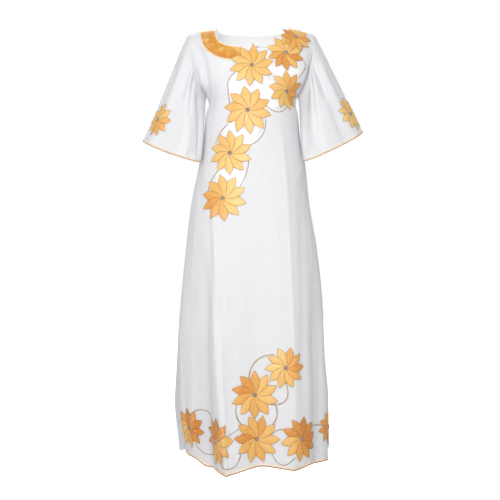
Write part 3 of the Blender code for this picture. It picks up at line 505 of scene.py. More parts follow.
def walk(surface, startU, startV, bearings, lengths, steps=8):
    # goes from places of a cloth over it, straight ahead, as a flat piece laid on it would lie;
    # bearing 0 is to the viewer's right, 90 is up
    bearings, lengths = np.asarray(bearings, float), np.asarray(lengths, float)
    u = np.broadcast_to(np.asarray(startU, float), bearings.shape).copy()
    v = np.broadcast_to(np.asarray(startV, float), bearings.shape).copy()
    right, down = clothFrame(surface, u, v)
    angle = np.radians(bearings)[:, None]
    heading = np.cos(angle) * right - np.sin(angle) * down
    for _ in range(steps):
        alongU, alongV = tangents(surface, u, v)
        normal = unit(np.cross(alongU, alongV))
        heading = unit(heading - normal * dot(heading, normal)[..., None])
        step = heading * (lengths / steps)[:, None]
        uu, vv, uv = dot(alongU, alongU), dot(alongV, alongV), dot(alongU, alongV)
        su, sv = dot(alongU, step), dot(alongV, step)
        scale = uu * vv - uv * uv
        u = u + (su * vv - sv * uv) / scale
        v = v + (sv * uu - su * uv) / scale
    return u, v


# Nodes and colours


def toLinear(code):
    # an sRGB hex colour as the linear values that a shader takes
    parts = [int(code[i:i + 2], 16) / 255 for i in (1, 3, 5)]
    return (*[p / 12.92 if p <= 0.04045 else ((p + 0.055) / 1.055) ** 2.4 for p in parts], 1.0)


def fillNode(node, given):
    # gives a node its settings by name, and its inputs a value or the output that feeds them
    for key, value in given.items():
        if isinstance(key, str) and hasattr(node, key):
            setattr(node, key, value)
        elif isinstance(value, bpy.types.NodeSocket):
            node.id_data.links.new(value, node.inputs[key])
        else:
            node.inputs[key].default_value = value


def addNode(tree, kind, given=None, out=0):
    # adds one node, a shader's unless its kind says otherwise, and returns its output
    node = tree.nodes.new(kind if "Node" in kind else "ShaderNode" + kind)
    fillNode(node, given or {})
    return node.outputs[out]


def addMath(tree, operation, *values):
    return addNode(tree, "Math", {"operation": operation, **dict(enumerate(values))})


def addNoise(tree, place, scale, detail, roughness=0.5, distortion=0.0):
    return addNode(tree, "TexNoise", {"Vector": place, "Scale": scale, "Detail": detail,
                                      "Roughness": roughness, "Distortion": distortion})


def addBump(tree, height, strength, distance, over=None):
    # over is the normal of the bump that it lies on
    given = {"Height": height, "Strength": strength, "Distance": distance}
    return addNode(tree, "Bump", {**given, "Normal": over} if over else given)


def addRamp(tree, share, stops):
    # colours by share, as stops of (place, hex)
    colour = addNode(tree, "ValToRGB", {"Fac": share})
    elements = colour.node.color_ramp.elements
    while len(elements) < len(stops):
        elements.new(0.5)
    for element, (place, code) in zip(elements, stops):
        element.position = place
        element.color = toLinear(code)
    return colour


def addWeave(tree, place, warp, weft):
    # a plain weave's height from two sets of threads, with the spacings in metres
    bands = [addNode(tree, "TexWave", {
        "bands_direction": axis, "Vector": place, "Scale": 2 * math.pi / (20 * spacing), "Distortion": 0.6,
        "Detail": 1.0}, "Fac") for axis, spacing in (("X", warp), ("Y", weft))]
    return addMath(tree, "MAXIMUM", *bands)


def startMaterial(name, onCloth=False):
    # a material, its shader, and where it lies: on the flat cloth, or in the object
    made = bpy.data.materials.new(name)
    made.use_nodes = True
    tree = made.node_tree
    if onCloth:
        place = addNode(tree, "UVMap", {"uv_map": "Cloth"})
    else:
        place = addNode(tree, "TexCoord", out="Object")
    return made, tree, tree.nodes["Principled BSDF"], place


whiteCloth = {
    "light": "#F5F5F7", "dark": "#F1F1F3",
    "backingAndPaintedLight": "#FFFFFF",                 # where a stiff backing holds it smooth between the flowers; also painted light inside the back of the neck
    "warp": 0.0011, "weft": 0.0013,      # real threads are 0.3 mm apart; drawn coarser so that they show
    "slubLength": 0.075, "slubWidth": 0.0045,
    "crumple": 0.045,
    "letThrough": 0.34,                  # share of the light that passes into the thin cloth
    "crumpleBump": (0.5, 0.0011), "slubBump": (0.22, 0.0004), "weaveBump": (0.4, 0.00008),
    "finish": {"Roughness": 0.62, "Specular IOR Level": 0.35, "Sheen Weight": 0.22,
               "Sheen Roughness": 0.45},
}


def makeWhiteCloth():
    # Polyester and cotton crepe in plain weave: matt, with a soft sheen at glancing angles and
    # faint slubs down the warp, so the large folds read as soft greys.
    made, tree, shader, place = startMaterial("white crepe cloth", True)
    stretch = (1 / whiteCloth["slubWidth"], 1 / whiteCloth["slubLength"], 1)
    stretched = addNode(tree, "Mapping", {"Vector": place, "Scale": stretch})
    slubs = addNoise(tree, stretched, 1.0, 3.0, 0.6)
    crumple = addNoise(tree, place, 1 / whiteCloth["crumple"], 2.5, 0.45, 0.4)
    tint = addRamp(tree, slubs, ((0.30, whiteCloth["dark"]), (0.66, whiteCloth["light"])))
    # whiter where the backing lies behind the front, and painted light: whiter inside the back of the neck,
    # which lies in shade
    backingAndPaintedLight = addNode(tree, "VertexColor", {"layer_name": "backingAndPaintedLight"})
    tint = addNode(tree, "Mix", {"data_type": "RGBA", 0: backingAndPaintedLight, 6: tint,
                                 7: toLinear(whiteCloth["backingAndPaintedLight"])}, 2)
    soft = addBump(tree, crumple, *whiteCloth["crumpleBump"])
    rows = addBump(tree, slubs, *whiteCloth["slubBump"], soft)
    fine = addBump(tree, addWeave(tree, place, whiteCloth["warp"], whiteCloth["weft"]),
                   *whiteCloth["weaveBump"], rows)
    fillNode(shader, {"Base Color": tint, "Normal": fine, **whiteCloth["finish"]})
    glow = addNode(tree, "BsdfTranslucent", {"Color": tint})
    both = addNode(tree, "MixShader",
                   {0: whiteCloth["letThrough"], 1: shader.outputs["BSDF"], 2: glow})
    fillNode(tree.nodes["Material Output"], {"Surface": both})
    return made


petalSatin = {
    # tones from 0 to 1
    "stops": ((0.0, "#CC8036"), (0.30, "#DD9D50"), (0.55, "#E4B163"), (0.80, "#E5BA70"), (1.0, "#E7C478")),
    "thread": 0.0009,
    "grainScale": (260, 40, 1), "grain": 0.30,      # streaks, and how far they shift the tone
    "cloudScale": 70.0, "cloud": 0.44,
    # painted shade at the seams: the colour it multiplies by, where it starts across a petal, and how strong
    # it gets
    "seamShade": "#D9A468", "seamStart": 0.36, "seamShare": 0.30,
    "puckerBump": (0.6, 0.0007), "weaveBump": (0.35, 0.00006),
    "finish": {"Roughness": 0.46, "Anisotropic": 0.35, "Specular IOR Level": 0.45, "Sheen Weight": 0.22,
               "Sheen Roughness": 0.35, "Sheen Tint": toLinear("#FFE2A8")},
}


def makePetalSatin():
    # Polyester satin, cut petal by petal: the floats run along each petal, so every petal takes the light
    # differently. Its tone, from deep orange to yellow, is its own colour with painted sheen and shade in it,
    # and painted shade darkens it where the seams draw it in.
    made, tree, shader, place = startMaterial("petal satin", True)
    paint = addNode(tree, "VertexColor", {"layer_name": "petal"})
    parts = addNode(tree, "SeparateColor", {"Color": paint}).node.outputs
    streak = addNode(tree, "Mapping", {"Vector": place, "Scale": petalSatin["grainScale"]})
    cloud = addNoise(tree, place, petalSatin["cloudScale"], 2.0)
    grain, tone = addNoise(tree, streak, 1.0, 2.0), parts["Red"]
    for noise, reach in ((grain, petalSatin["grain"]), (cloud, petalSatin["cloud"])):
        tone = addMath(tree, "ADD", tone, addMath(tree, "MULTIPLY_ADD", noise, reach, -reach / 2))
    colour = addRamp(tree, tone, petalSatin["stops"])
    # the green channel runs from one side of a petal to the other
    side = addMath(tree, "ABSOLUTE", addMath(tree, "SUBTRACT", parts["Green"], 0.5))
    # painted shade, darkening the satin towards the seams on both sides of a petal
    paintedSeamShade = addNode(tree, "MapRange", {"Value": side, "From Min": petalSatin["seamStart"],
                                       "From Max": 0.5, "To Max": petalSatin["seamShare"]})
    darker = addNode(tree, "Mix", {"data_type": "RGBA", "blend_type": "MULTIPLY", 0: paintedSeamShade,
                                   6: colour, 7: toLinear(petalSatin["seamShade"])}, 2)
    weave = addWeave(tree, place, petalSatin["thread"], petalSatin["thread"] * 2.5)
    pucker = addBump(tree, cloud, *petalSatin["puckerBump"])
    tangent = addNode(tree, "Tangent", {"direction_type": "UV_MAP", "uv_map": "Cloth"})
    fillNode(shader, {"Base Color": darker, "Tangent": tangent, **petalSatin["finish"],
                      "Normal": addBump(tree, weave, *petalSatin["weaveBump"], pucker)})
    return made


bandSatin = {
    "stops": ((0.3, "#C5802E"), (0.46, "#CF8E36"), (0.58, "#D9A04B"), (0.72, "#E6C084")),
    # size of the lighter patches of painted sheen
    "patch": 0.024,
    "liftBump": (0.8, 0.0012),
    "finish": {"Roughness": 0.36, "Anisotropic": 0.4, "Specular IOR Level": 0.45, "Sheen Weight": 0.3,
               "Sheen Tint": toLinear("#FFE2A8")},
}


def makeBandSatin():
    # The same satin in a deeper orange, fused to a backing: it shows lighter patches, painted sheen where
    # the stitching lets it lift, and a bright line along the crown.
    made, tree, shader, place = startMaterial("band satin", True)
    patch = addNoise(tree, place, 1 / bandSatin["patch"], 3.0, 0.55, 0.5)
    weave = addWeave(tree, place, petalSatin["thread"] * 2.5, petalSatin["thread"])
    lift = addBump(tree, patch, *bandSatin["liftBump"])
    # the colour follows the same noise as the lift: painted sheen on the patches
    fillNode(shader, {"Base Color": addRamp(tree, patch, bandSatin["stops"]), **bandSatin["finish"],
                      "Normal": addBump(tree, weave, *petalSatin["weaveBump"], lift)})
    return made


# Threads, cords and beads: two near tones, roughness, and how fine their grain is
grainRows = {
    "brownThread": ("rayon embroidery thread, brown", "#7E4A1C", "#A56A2C", 0.45, 900.0),
    "tanThread": ("rayon embroidery thread, tan", "#8C5F30", "#B88C50", 0.42, 900.0),
    "creamThread": ("rayon embroidery thread, cream", "#CDBFA6", "#EDE4D2", 0.45, 900.0),
    "peachCord": ("satin cord, peach cream", "#EBC890", "#F8DFB8", 0.50, 500.0),
    "creamTape": ("cotton tape, cream", "#E6D9C2", "#F4ECDC", 0.70, 500.0),
    "rustPiping": ("bias piping, rust orange", "#A6622C", "#C98650", 0.55, 420.0),
    "ochrePiping": ("bias piping, ochre", "#B98A48", "#DDB97E", 0.55, 420.0),
    "mauveBeads": ("mauve glass beads", "#8A7A78", "#C0B0AC", 0.26, 420.0),
    "clearSequins": ("clear sequins", "#F4F2EE", "#FFFFFF", 0.20, 420.0),
}
twistBump, driftScale = (0.5, 0.0002), 28.0
yarnFinish = {"Sheen Weight": 0.15}
glassFinish = {"Metallic": 0.10, "Coat Weight": 0.5, "Coat Roughness": 0.12}


def makeGrained(name, dark, light, roughness, scale):
    # Yarn: two near tones twisted together, with the twist as a fine bump, so that a stitched line
    # glints along its length. Beads and sequins: pressed glass with a lustre, which gives small
    # hard glints, each bead a little off the next.
    made, tree, shader, place = startMaterial(name)
    grain = addNoise(tree, place, scale, 1.0)
    if "beads" in name or "sequins" in name:
        fillNode(shader, glassFinish)
        colour = addRamp(tree, grain, ((0.38, dark), (0.62, light)))
    else:
        drift = addMath(tree, "MULTIPLY", addNoise(tree, place, driftScale, 2.0), 0.6)
        fillNode(shader, {**yarnFinish, "Normal": addBump(tree, grain, *twistBump)})
        tone = addMath(tree, "MULTIPLY_ADD", grain, 0.4, drift)
        colour = addRamp(tree, tone, ((0.35, dark), (0.62, light)))
    fillNode(shader, {"Base Color": colour, "Roughness": roughness})
    return made


materials = {"whiteCloth": makeWhiteCloth(), "petalSatin": makePetalSatin(), "bandSatin": makeBandSatin()}
materials.update({key: makeGrained(*row) for key, row in grainRows.items()})
print("materials made:", len(materials))


# Meshes


def addObject(name, data):
    made = bpy.data.objects.new(name, data)
    bpy.context.scene.collection.objects.link(made)
    return made


def gridQuads(rows, count, start):
    r, c = np.meshgrid(np.arange(rows - 1), np.arange(count - 1), indexing="ij")
    a = (r * count + c).ravel() + start
    return np.stack([a, a + 1, a + count + 1, a + count], axis=-1)


def layPatch(base, normals, low, high, uv, **more):
    # a patch of cloth that fills the space from low to high over a grid of places
    outer = base + normals * np.asarray(high)[..., None]
    return {"outer": outer, "inner": base + normals * low, "uv": uv, **more}


def shellObject(name, patches, hand, materialKey, paintName="petal"):
    # one object from patches of cloth, the two sides of each joined along its rim; its uv is in
    # metres, and its paint, where it has one, goes to the named attribute
    points, uvs, paints, faces, start = [], [], [], [], 0
    for patch in patches:
        rows, count = patch["outer"].shape[:2]
        total = rows * count
        quads = gridQuads(rows, count, start)
        ring = np.concatenate([np.arange(count), np.arange(1, rows) * count + count - 1,
                               (rows - 1) * count + np.arange(count - 2, -1, -1),
                               np.arange(rows - 2, 0, -1) * count]) + start
        nextRing = np.roll(ring, -1)
        rim = np.stack([nextRing, ring, ring + total, nextRing + total], axis=-1)
        faces.append(np.concatenate([quads, quads[:, ::-1] + total, rim])[:, ::int(hand)])
        points += [patch[side].reshape(-1, 3) for side in ("outer", "inner")]
        uvs += [patch["uv"].reshape(-1, 2)] * 2
        if "paint" in patch:
            paints += [patch["paint"].reshape(-1, 3)] * 2
        start += 2 * total
    mesh = bpy.data.meshes.new(name)
    mesh.from_pydata(np.concatenate(points).tolist(), [], np.concatenate(faces).tolist())
    corner = np.empty(len(mesh.loops), dtype=np.int32)
    mesh.loops.foreach_get("vertex_index", corner)
    layer = mesh.uv_layers.new(name="Cloth")
    layer.data.foreach_set("uv", np.concatenate(uvs)[corner].astype(np.float32).ravel())
    if paints:
        paints = np.concatenate(paints)
        attribute = mesh.color_attributes.new(paintName, "FLOAT_COLOR", "POINT")
        attribute.data.foreach_set("color", np.c_[paints, np.ones(len(paints))].astype(np.float32).ravel())
    mesh.materials.append(materials[materialKey])
    mesh.shade_smooth()
    mesh.set_sharp_from_angle(angle=math.radians(50))
    return addObject(name, mesh)


def gridNormals(points, hand):
    return hand * unit(np.cross(np.gradient(points, axis=1), np.gradient(points, axis=0)))


def runAlong(line):
    return np.cumsum(np.r_[0.0, np.linalg.norm(np.diff(line, axis=0), axis=-1)])


# Flowers: where each lies, u across and v down the front, or turn and share on a sleeve; its radius
# and first petal's turn; how far it is lifted over what it crosses; the tone of its satin, 0 orange
# to 1 yellow, its own colour with painted light in it; the swing of painted sheen and shade towards
# one side of the flower, that side's bearing, and how much its petals vary.
flowerNames = ("name", "u", "v", "radius", "turn", "lift", "tone", "swing", "toward", "vary")
flowerRows = (
    ("neck_middle", 0.0, 0.148, 0.067, 8.0, 0.0022, 0.72, 0.12, 270, 0.16),
    ("neck_right", 0.317, 0.094, 0.058, 20.0, 0.003, 0.54, 0.26, 120, 0.34),
    ("shoulder", 0.428, 0.055, 0.049, 0.0, 0.0052, 0.34, 0.26, 60, 0.36),
    ("armhole", 0.492, 0.204, 0.061, 0.0, 0.0006, 0.5, 0.18, 200, 0.2),
    ("bust", -0.056, 0.284, 0.073, 12.0, 0.0006, 0.74, 0.12, 250, 0.14),
    ("waist_upper", -0.264, 0.405, 0.068, 5.0, 0.0006, 0.82, 0.1, 300, 0.15),
    ("waist_lower", -0.296, 0.542, 0.073, 14.0, 0.0006, 0.66, 0.28, 15, 0.14),
    ("skirt_upper", 0.262, 1.051, 0.062, 3.0, 0.0006, 0.56, 0.3, 180, 0.24),
    ("skirt_middle", 0.023, 1.14, 0.071, 20.0, 0.0006, 0.46, 0.14, 310, 0.2),
    ("hem_middle", 0.038, 1.268, 0.07, 0.0, 0.001, 0.42, 0.16, 330, 0.18),
    ("hem_right", 0.37, 1.258, 0.066, 8.0, 0.0006, 0.26, 0.34, 240, 0.26),
    ("hem_corner", 0.78, 1.225, 0.052, 10.0, 0.0006, 0.28, 0.2, 90, 0.2),
    ("hem_left", -0.29, 1.267, 0.071, 0.0, 0.001, 0.16, 0.3, 300, 0.3),
    ("hem_side", -0.7, 1.228, 0.061, 12.0, 0.0006, 0.28, 0.34, 200, 0.28),
    ("sleeve_left", 42.0, 0.785, 0.055, 5.0, 0.0006, 0.62, 0.22, 100, 0.2),
    ("sleeve_right", 29.0, 0.812, 0.056, 0.0, 0.0006, 0.92, 0.22, 250, 0.2),
)
flowers = {}
for row in rowsOf(flowerNames, flowerRows):
    name = row["name"]
    hand = sleeveRows[name]["side"] if name in sleeveRows else -1.0
    flowers[name] = {**row, "hand": hand, "plain": sleeveCloths.get(name, plainFront),
                     "cloth": sleeveCloths.get(name, frontCloth)}

# A stiff backing lies behind the embroidery from flower to flower, out to the vines. Its reach is
# in metres to the viewer's left and right of the line, going down, or below and above it.
backingNames = ("start", "end", "reachLeft", "reachRight")
backingRows = (
    ("neck_middle", "bust", 0.066, 0.06),
    ("neck_middle", "neck_right", 0.045, 0.02),
    ("neck_right", "armhole", 0.04, 0.054),
    ("bust", "armhole", 0.034, 0.06),
    ("bust", "waist_upper", 0.048, 0.062),
    ("waist_upper", "waist_lower", 0.036, 0.06),
)
# how soft its edge looks, and the depth of the painted light inside the back of the neck, a whiter band that
# stands in for light on its shaded inner side
backingEdge = {"soft": 0.006, "facing": 0.040}


def backedShare(across, down):
    drop, _ = dropAt(across, down)
    x = fromMiddle(across, drop)
    share = np.zeros(across.shape)
    for row in rowsOf(backingNames, backingRows):
        ends = [(flowers[row[key]]["u"], flowers[row[key]]["v"]) for key in ("start", "end")]
        (x0, y0), (x1, y1) = [(fromMiddle(u, dropAt(u, v)[0]), dropAt(u, v)[0]) for u, v in ends]
        length = math.hypot(x1 - x0, y1 - y0)
        ax, ay = (x1 - x0) / length, (y1 - y0) / length
        s = ((x - x0) * ax + (drop - y0) * ay) / length
        away = (x - x0) * ay - (drop - y0) * ax
        reach = np.where(away < 0, row["reachLeft"], row["reachRight"])
        reach = reach * np.sqrt(np.clip(4 * s * (1 - s), 0, 1))
        share = np.maximum(share, np.clip((reach - np.abs(away)) / backingEdge["soft"], 0, 1))
    return eased(share)


def makeCloth(name, points, hand, uv, **paint):
    # each panel is one patch, and stops just short of its seams
    normals, half = gridNormals(points, hand), pattern["cloth"] / 2
    if name.startswith("sleeve"):
        points[0] += unit(points[1] - points[0]) * 2 * pattern["seamHalf"]
    else:
        points[:, 0] += unit(points[:, 1] - points[:, 0]) * pattern["seamHalf"]
        points[:, -1] += unit(points[:, -2] - points[:, -1]) * pattern["seamHalf"]
    patch = layPatch(points, normals, -half, half, np.stack(uv, axis=-1), **paint)
    return shellObject(name + "_cloth", [patch], hand, "whiteCloth", "backingAndPaintedLight")


def makePanel(panel, surface):
    across, down = panelGrid(panel)
    backingAndPaintedLight = backedShare(across, down)
    if panel == "back":
        # painted light: the back is painted whiter near its neck edge, standing in for light on the shaded
        # inside of the neck
        backingAndPaintedLight = np.clip((backingEdge["facing"] - (down - down[0])) / backingEdge["soft"], 0, 1)
    drop, _ = dropAt(across, down)
    return makeCloth(panel, surface(across, down), handOf[panel], (fromMiddle(across, drop), -down),
                     paint=np.stack([backingAndPaintedLight] * 3, axis=-1))


def makeSleeve(name):
    grid = clothGrid["sleeve"]
    turns, along = np.meshgrid(np.linspace(-179.8, 179.8, grid["turns"] + 1),
                               np.linspace(0.0, 1.0, grid["rows"] + 1) ** grid["crowd"])
    return makeCloth(name, sleeveCloths[name](turns, along), sleeveRows[name]["side"],
                     (turns * sleeveShape["perDegree"], -along * sleeveShape["length"]))


frontPiece = makePanel("front", frontCloth)
backPiece = makePanel("back", backCloth)
sleevePieces = {name: makeSleeve(name) for name in sleeveRows}
print("cloth panels and sleeves made")


# How a petal is cut and sewn
petalShape = {
    "petals": 10,
    "notch": 0.66,               # notch radius as a share of the tip radius
    "pinwheel": 5.0,             # degrees by which each tip leans
    "swirl": 24.0,               # degrees by which the seams curl near the middle
    "satin": 0.0009,             # thickness
    "puff": 0.0011,              # height of a petal's crown over its seams
    "puffVaries": (0.75, 1.2),
    "puffTilt": 0.35,            # how far a crown may lie to one side
    "puffRound": 0.6,            # how squarely it rises from the seams
    "puffEye": (0.35, 0.35),     # it is this low at the eye, and full from this share of the radius
    "puffTip": (0.35, 0.4),      # the same for the tip
    "tipWidth": 0.0007,
    "tipLean": 3.0,              # degrees by which hand sewing sets a tip off
    "eye": 0.05,                 # petals start at this share of the radius
    "gap": 0.00012,              # a seam's half width
    "innerRings": 11,
    "outerRings": 8,
    "columns": 9,
}
petalStep = 360.0 / petalShape["petals"]


def petalLine(radius, r, t, turn, lean):
    # bearing of a place in a petal, r out and t across from -1 to 1
    notch = petalShape["notch"] * radius
    q = np.clip((r - notch) / (radius - notch), 0.0, 1.0)
    least = np.degrees(petalShape["tipWidth"] / 2 / r)
    half = np.maximum(petalStep / 2 * (1 - q), least) - np.degrees(petalShape["gap"] / r)
    curl = petalShape["swirl"] * np.clip(1 - r / notch, 0, 1) ** 1.5
    return turn + petalShape["pinwheel"] * (r / radius) ** 2 - curl + lean * q ** 2 + t * half


def makeFlower(flower, draws):
    # ten petals, each its own puffed piece of satin, and the lines of its seams and outline
    radius, rings = flower["radius"], petalShape["innerRings"]
    notch = petalShape["notch"] * radius
    r = np.concatenate([np.linspace(petalShape["eye"] * radius, notch, rings),
                        np.linspace(notch, radius, petalShape["outerRings"] + 1)[1:]])
    r, t = np.meshgrid(r, np.linspace(-1.0, 1.0, petalShape["columns"]), indexing="ij")
    (eyeLow, eyeReach), (tipLow, tipReach) = petalShape["puffEye"], petalShape["puffTip"]
    crown = (1 - t ** 2) ** petalShape["puffRound"] * np.clip(r / (eyeReach * radius), eyeLow, 1.0)
    crown = crown * (tipLow + (1 - tipLow) * np.clip((radius - r) / (tipReach * radius), 0.0, 1.0))
    low = pattern["cloth"] / 2 + flower["lift"]
    patches, seams, outline = [], [], []
    for petal in range(petalShape["petals"]):
        turn = flower["turn"] + petal * petalStep
        bearing = petalLine(radius, r, t, turn, draws.uniform(-1, 1) * petalShape["tipLean"])
        u, v = walk(flower["plain"], flower["u"], flower["v"], bearing.ravel(), r.ravel())
        base = flower["cloth"](u, v).reshape(r.shape + (3,))
        normals = outward(flower["plain"], u, v, flower["hand"]).reshape(base.shape)
        tilt = draws.uniform(-1, 1) * petalShape["puffTilt"] * t * (1 - t ** 2)
        puff = petalShape["puff"] * (crown + tilt * crown) * draws.uniform(*petalShape["puffVaries"])
        # painted sheen and shade: a petal is yellower the more it turns to the flower's lit side, deeper
        # orange away from it
        facing = math.cos(math.radians(turn - flower["toward"]))
        tone = flower["tone"] + flower["swing"] * facing + draws.uniform(-1, 1) * flower["vary"]
        paint = np.stack([np.full_like(r, np.clip(tone, 0.02, 0.98)), t / 2 + 0.5, r / radius], axis=-1)
        # each petal takes its own part of the satin
        uv = np.stack([np.radians(bearing - turn) * r + 0.31 * petal, r + 0.07 * petal], axis=-1)
        patch = layPatch(base, normals, low, low + petalShape["satin"] + puff, uv, paint=paint)
        patches.append(patch)
        seams.append((patch["outer"][:rings, -1], normals[:rings, -1]))
        outline.append([np.concatenate([field[rings - 1:, 0], field[rings - 1:, -1][::-1]])
                        for field in (patch["outer"], normals)])
    made = shellObject("flower_" + flower["name"] + "_satin", patches, flower["hand"], "petalSatin")
    return made, seams, [np.concatenate(field) for field in zip(*outline)], patches


satinDraws = np.random.default_rng(7)
flowerPieces, seamPaths, outlinePaths, flowerPatches = {}, [], [], {}
for name, flower in flowers.items():
    flowerPieces[name], seams, outline, flowerPatches[name] = makeFlower(flower, satinDraws)
    seamPaths += seams
    outlinePaths.append(outline)
print("flowers made:", len(flowerPieces))

# Neck band of satin, from the shoulder seam to the first flower
neckBand = {
    "width": 0.045, "flare": 0.010, "edge": 0.0012,
    "start": -0.9990, "end": -0.018,        # as a turn, and in metres from the middle
    "lift": 0.0003, "satin": 0.0010, "crown": 0.00128,
    "seamGap": 0.0008,                      # it stops this far from the shoulder seam
    "pieces": 84, "columns": 15,
}


def makeNeckBand():
    turns = np.linspace(neckBand["start"], neckBand["end"] / pattern["neckHalf"], neckBand["pieces"] + 1)
    us, vs = neckEdge(turns, "front")
    ahead = plainFront(*neckEdge(turns + 0.005, "front")) - plainFront(us, vs)
    right, down = clothFrame(plainFront, us, vs)
    bearing = np.degrees(np.arctan2(-dot(ahead, down), dot(ahead, right))) - 90
    width = neckBand["width"] + neckBand["flare"] * np.maximum(0.0, -turns) ** 6
    share = np.linspace(0.0, 1.0, neckBand["columns"])
    lengths = neckBand["edge"] + (width[:, None] - neckBand["edge"]) * share
    grid = [np.broadcast_to(row[:, None], lengths.shape).ravel() for row in (us, vs, bearing)]
    u, v = [place.reshape(lengths.shape) for place in walk(plainFront, *grid, lengths.ravel())]
    v = np.maximum(v, neckBand["seamGap"])
    base, normals = frontCloth(u, v), outward(plainFront, u, v, -1.0)
    crown = neckBand["crown"] * (1 - (2 * share - 1) ** 4)
    low = pattern["cloth"] / 2 + neckBand["lift"]
    run = runAlong(base[:, neckBand["columns"] // 2])
    uv = np.stack([lengths, np.broadcast_to(run[:, None], lengths.shape)], axis=-1)
    patch = layPatch(base, normals, low, low + neckBand["satin"] + crown, uv)
    # columns run away from the neck, rows along it towards the middle: its outward hand is +1
    return shellObject("neck_band_satin", [patch], 1.0, "bandSatin"), patch["outer"], normals


bandPiece, bandTop, bandUps = makeNeckBand()


# Repeated stitches, beads and cords: one Geometry Nodes tree each, with its inputs' usual values
treeInputs = {
    "stitch": {"Spacing": 0.003, "Length": 0.003, "Width": 0.001, "Height": 0.0006, "Uneven": 0.2, "Seed": 1},
    "cord": {"Radius": 0.002, "Step": 0.003, "Sides": 10},
    "cluster": {"Beads": 26, "Cluster Radius": 0.006, "Rise": 0.002, "Bead Radius": 0.0011, "Seed": 3},
    "scatter": {"Density": 4000.0, "Size": 0.001, "Seed": 5},
}


def newTree(key):
    # a tree with a mesh in, a mesh out, and its named inputs with their usual values
    tree = bpy.data.node_groups.new(key, "GeometryNodeTree")
    for way in ("INPUT", "OUTPUT"):
        tree.interface.new_socket("Geometry", in_out=way, socket_type="NodeSocketGeometry")
    for label, value in treeInputs[key].items():
        kind = "NodeSocketInt" if isinstance(value, int) else "NodeSocketFloat"
        tree.interface.new_socket(label, in_out="INPUT", socket_type=kind).default_value = value
    tree.interface.new_socket("Material", in_out="INPUT", socket_type="NodeSocketMaterial")
    return tree, tree.nodes.new("NodeGroupInput").outputs


def finishTree(tree, given, geometry):
    # realized and given its material, because instances are not kept
    for kind in ("GeometryNodeRealizeInstances", "GeometryNodeSetShadeSmooth", "GeometryNodeSetMaterial"):
        geometry = addNode(tree, kind, {"Geometry": geometry})
    fillNode(geometry.node, {"Material": given["Material"]})
    fillNode(tree.nodes.new("NodeGroupOutput"), {"Geometry": geometry})
    return tree


def standUp(tree):
    # a turn whose Z points out of the cloth
    up = addNode(tree, "GeometryNodeInputNamedAttribute", {"data_type": "FLOAT_VECTOR", "Name": "up"})
    return addNode(tree, "FunctionNodeAlignRotationToVector", {"axis": "Z", "Vector": up})


def spacedPath(tree, given, label):
    path = addNode(tree, "GeometryNodeMeshToCurve", {"Mesh": given["Geometry"]})
    return addNode(tree, "GeometryNodeResampleCurve",
                   {"mode": "LENGTH", "Curve": path, "Length": given[label]})


def uneven(tree, given, least, most):
    return addNode(tree, "FunctionNodeRandomValue",
                   {"data_type": "FLOAT", 2: least, 3: most, "Seed": given["Seed"]}, 1)


def makeStitchTree():
    # stitches of thread, end to end along a path
    tree, given = newTree("stitch")
    share = uneven(tree, given, *[addMath(tree, way, 1.0, given["Uneven"]) for way in ("SUBTRACT", "ADD")])
    size = addNode(tree, "CombineXYZ",
                   {axis: given[label] for axis, label in zip("XYZ", ("Length", "Width", "Height"))})
    ahead = addNode(tree, "FunctionNodeAlignRotationToVector", {
        "axis": "X", "pivot_axis": "Z", "Rotation": standUp(tree),
        "Vector": addNode(tree, "GeometryNodeInputTangent")})
    return finishTree(tree, given, addNode(tree, "GeometryNodeInstanceOnPoints", {
        "Points": spacedPath(tree, given, "Spacing"), "Rotation": ahead,
        "Instance": addNode(tree, "GeometryNodeMeshIcoSphere", {"Radius": 0.5, "Subdivisions": 1}),
        "Scale": addNode(tree, "VectorMath", {
            "operation": "SCALE", "Vector": size, "Scale": share})}))


def makeCordTree():
    # a round cord along a path
    tree, given = newTree("cord")
    ring = addNode(tree, "GeometryNodeCurvePrimitiveCircle",
                   {"Resolution": given["Sides"], "Radius": given["Radius"]})
    return finishTree(tree, given, addNode(tree, "GeometryNodeCurveToMesh", {
        "Curve": spacedPath(tree, given, "Step"), "Profile Curve": ring, "Fill Caps": True}))


def makeClusterTree():
    # a dome of small beads at each point, in a spiral like a seed head
    tree, given = newTree("cluster")
    number = addNode(tree, "GeometryNodeInputIndex")
    share = addMath(tree, "DIVIDE", addMath(tree, "ADD", number, 0.5), given["Beads"])
    far = addMath(tree, "MULTIPLY", addMath(tree, "SQRT", share), given["Cluster Radius"])
    angle = addMath(tree, "MULTIPLY", number, math.radians(137.508))
    x, y = [addMath(tree, "MULTIPLY", addMath(tree, way, angle), far) for way in ("COSINE", "SINE")]
    z = addMath(tree, "MULTIPLY", addMath(tree, "SUBTRACT", 1.0, share), given["Rise"])
    place = addNode(tree, "CombineXYZ", {"X": x, "Y": y, "Z": z})
    spots = addNode(tree, "GeometryNodePoints", {"Count": given["Beads"], "Position": place})
    bead = addNode(tree, "GeometryNodeMeshIcoSphere", {"Subdivisions": 2, "Radius": given["Bead Radius"]})
    beads = addNode(tree, "GeometryNodeInstanceOnPoints", {
        "Points": spots, "Instance": bead, "Scale": uneven(tree, given, 0.85, 1.1)})
    return finishTree(tree, given, addNode(tree, "GeometryNodeInstanceOnPoints", {
        "Points": given["Geometry"], "Instance": beads, "Rotation": standUp(tree)}))


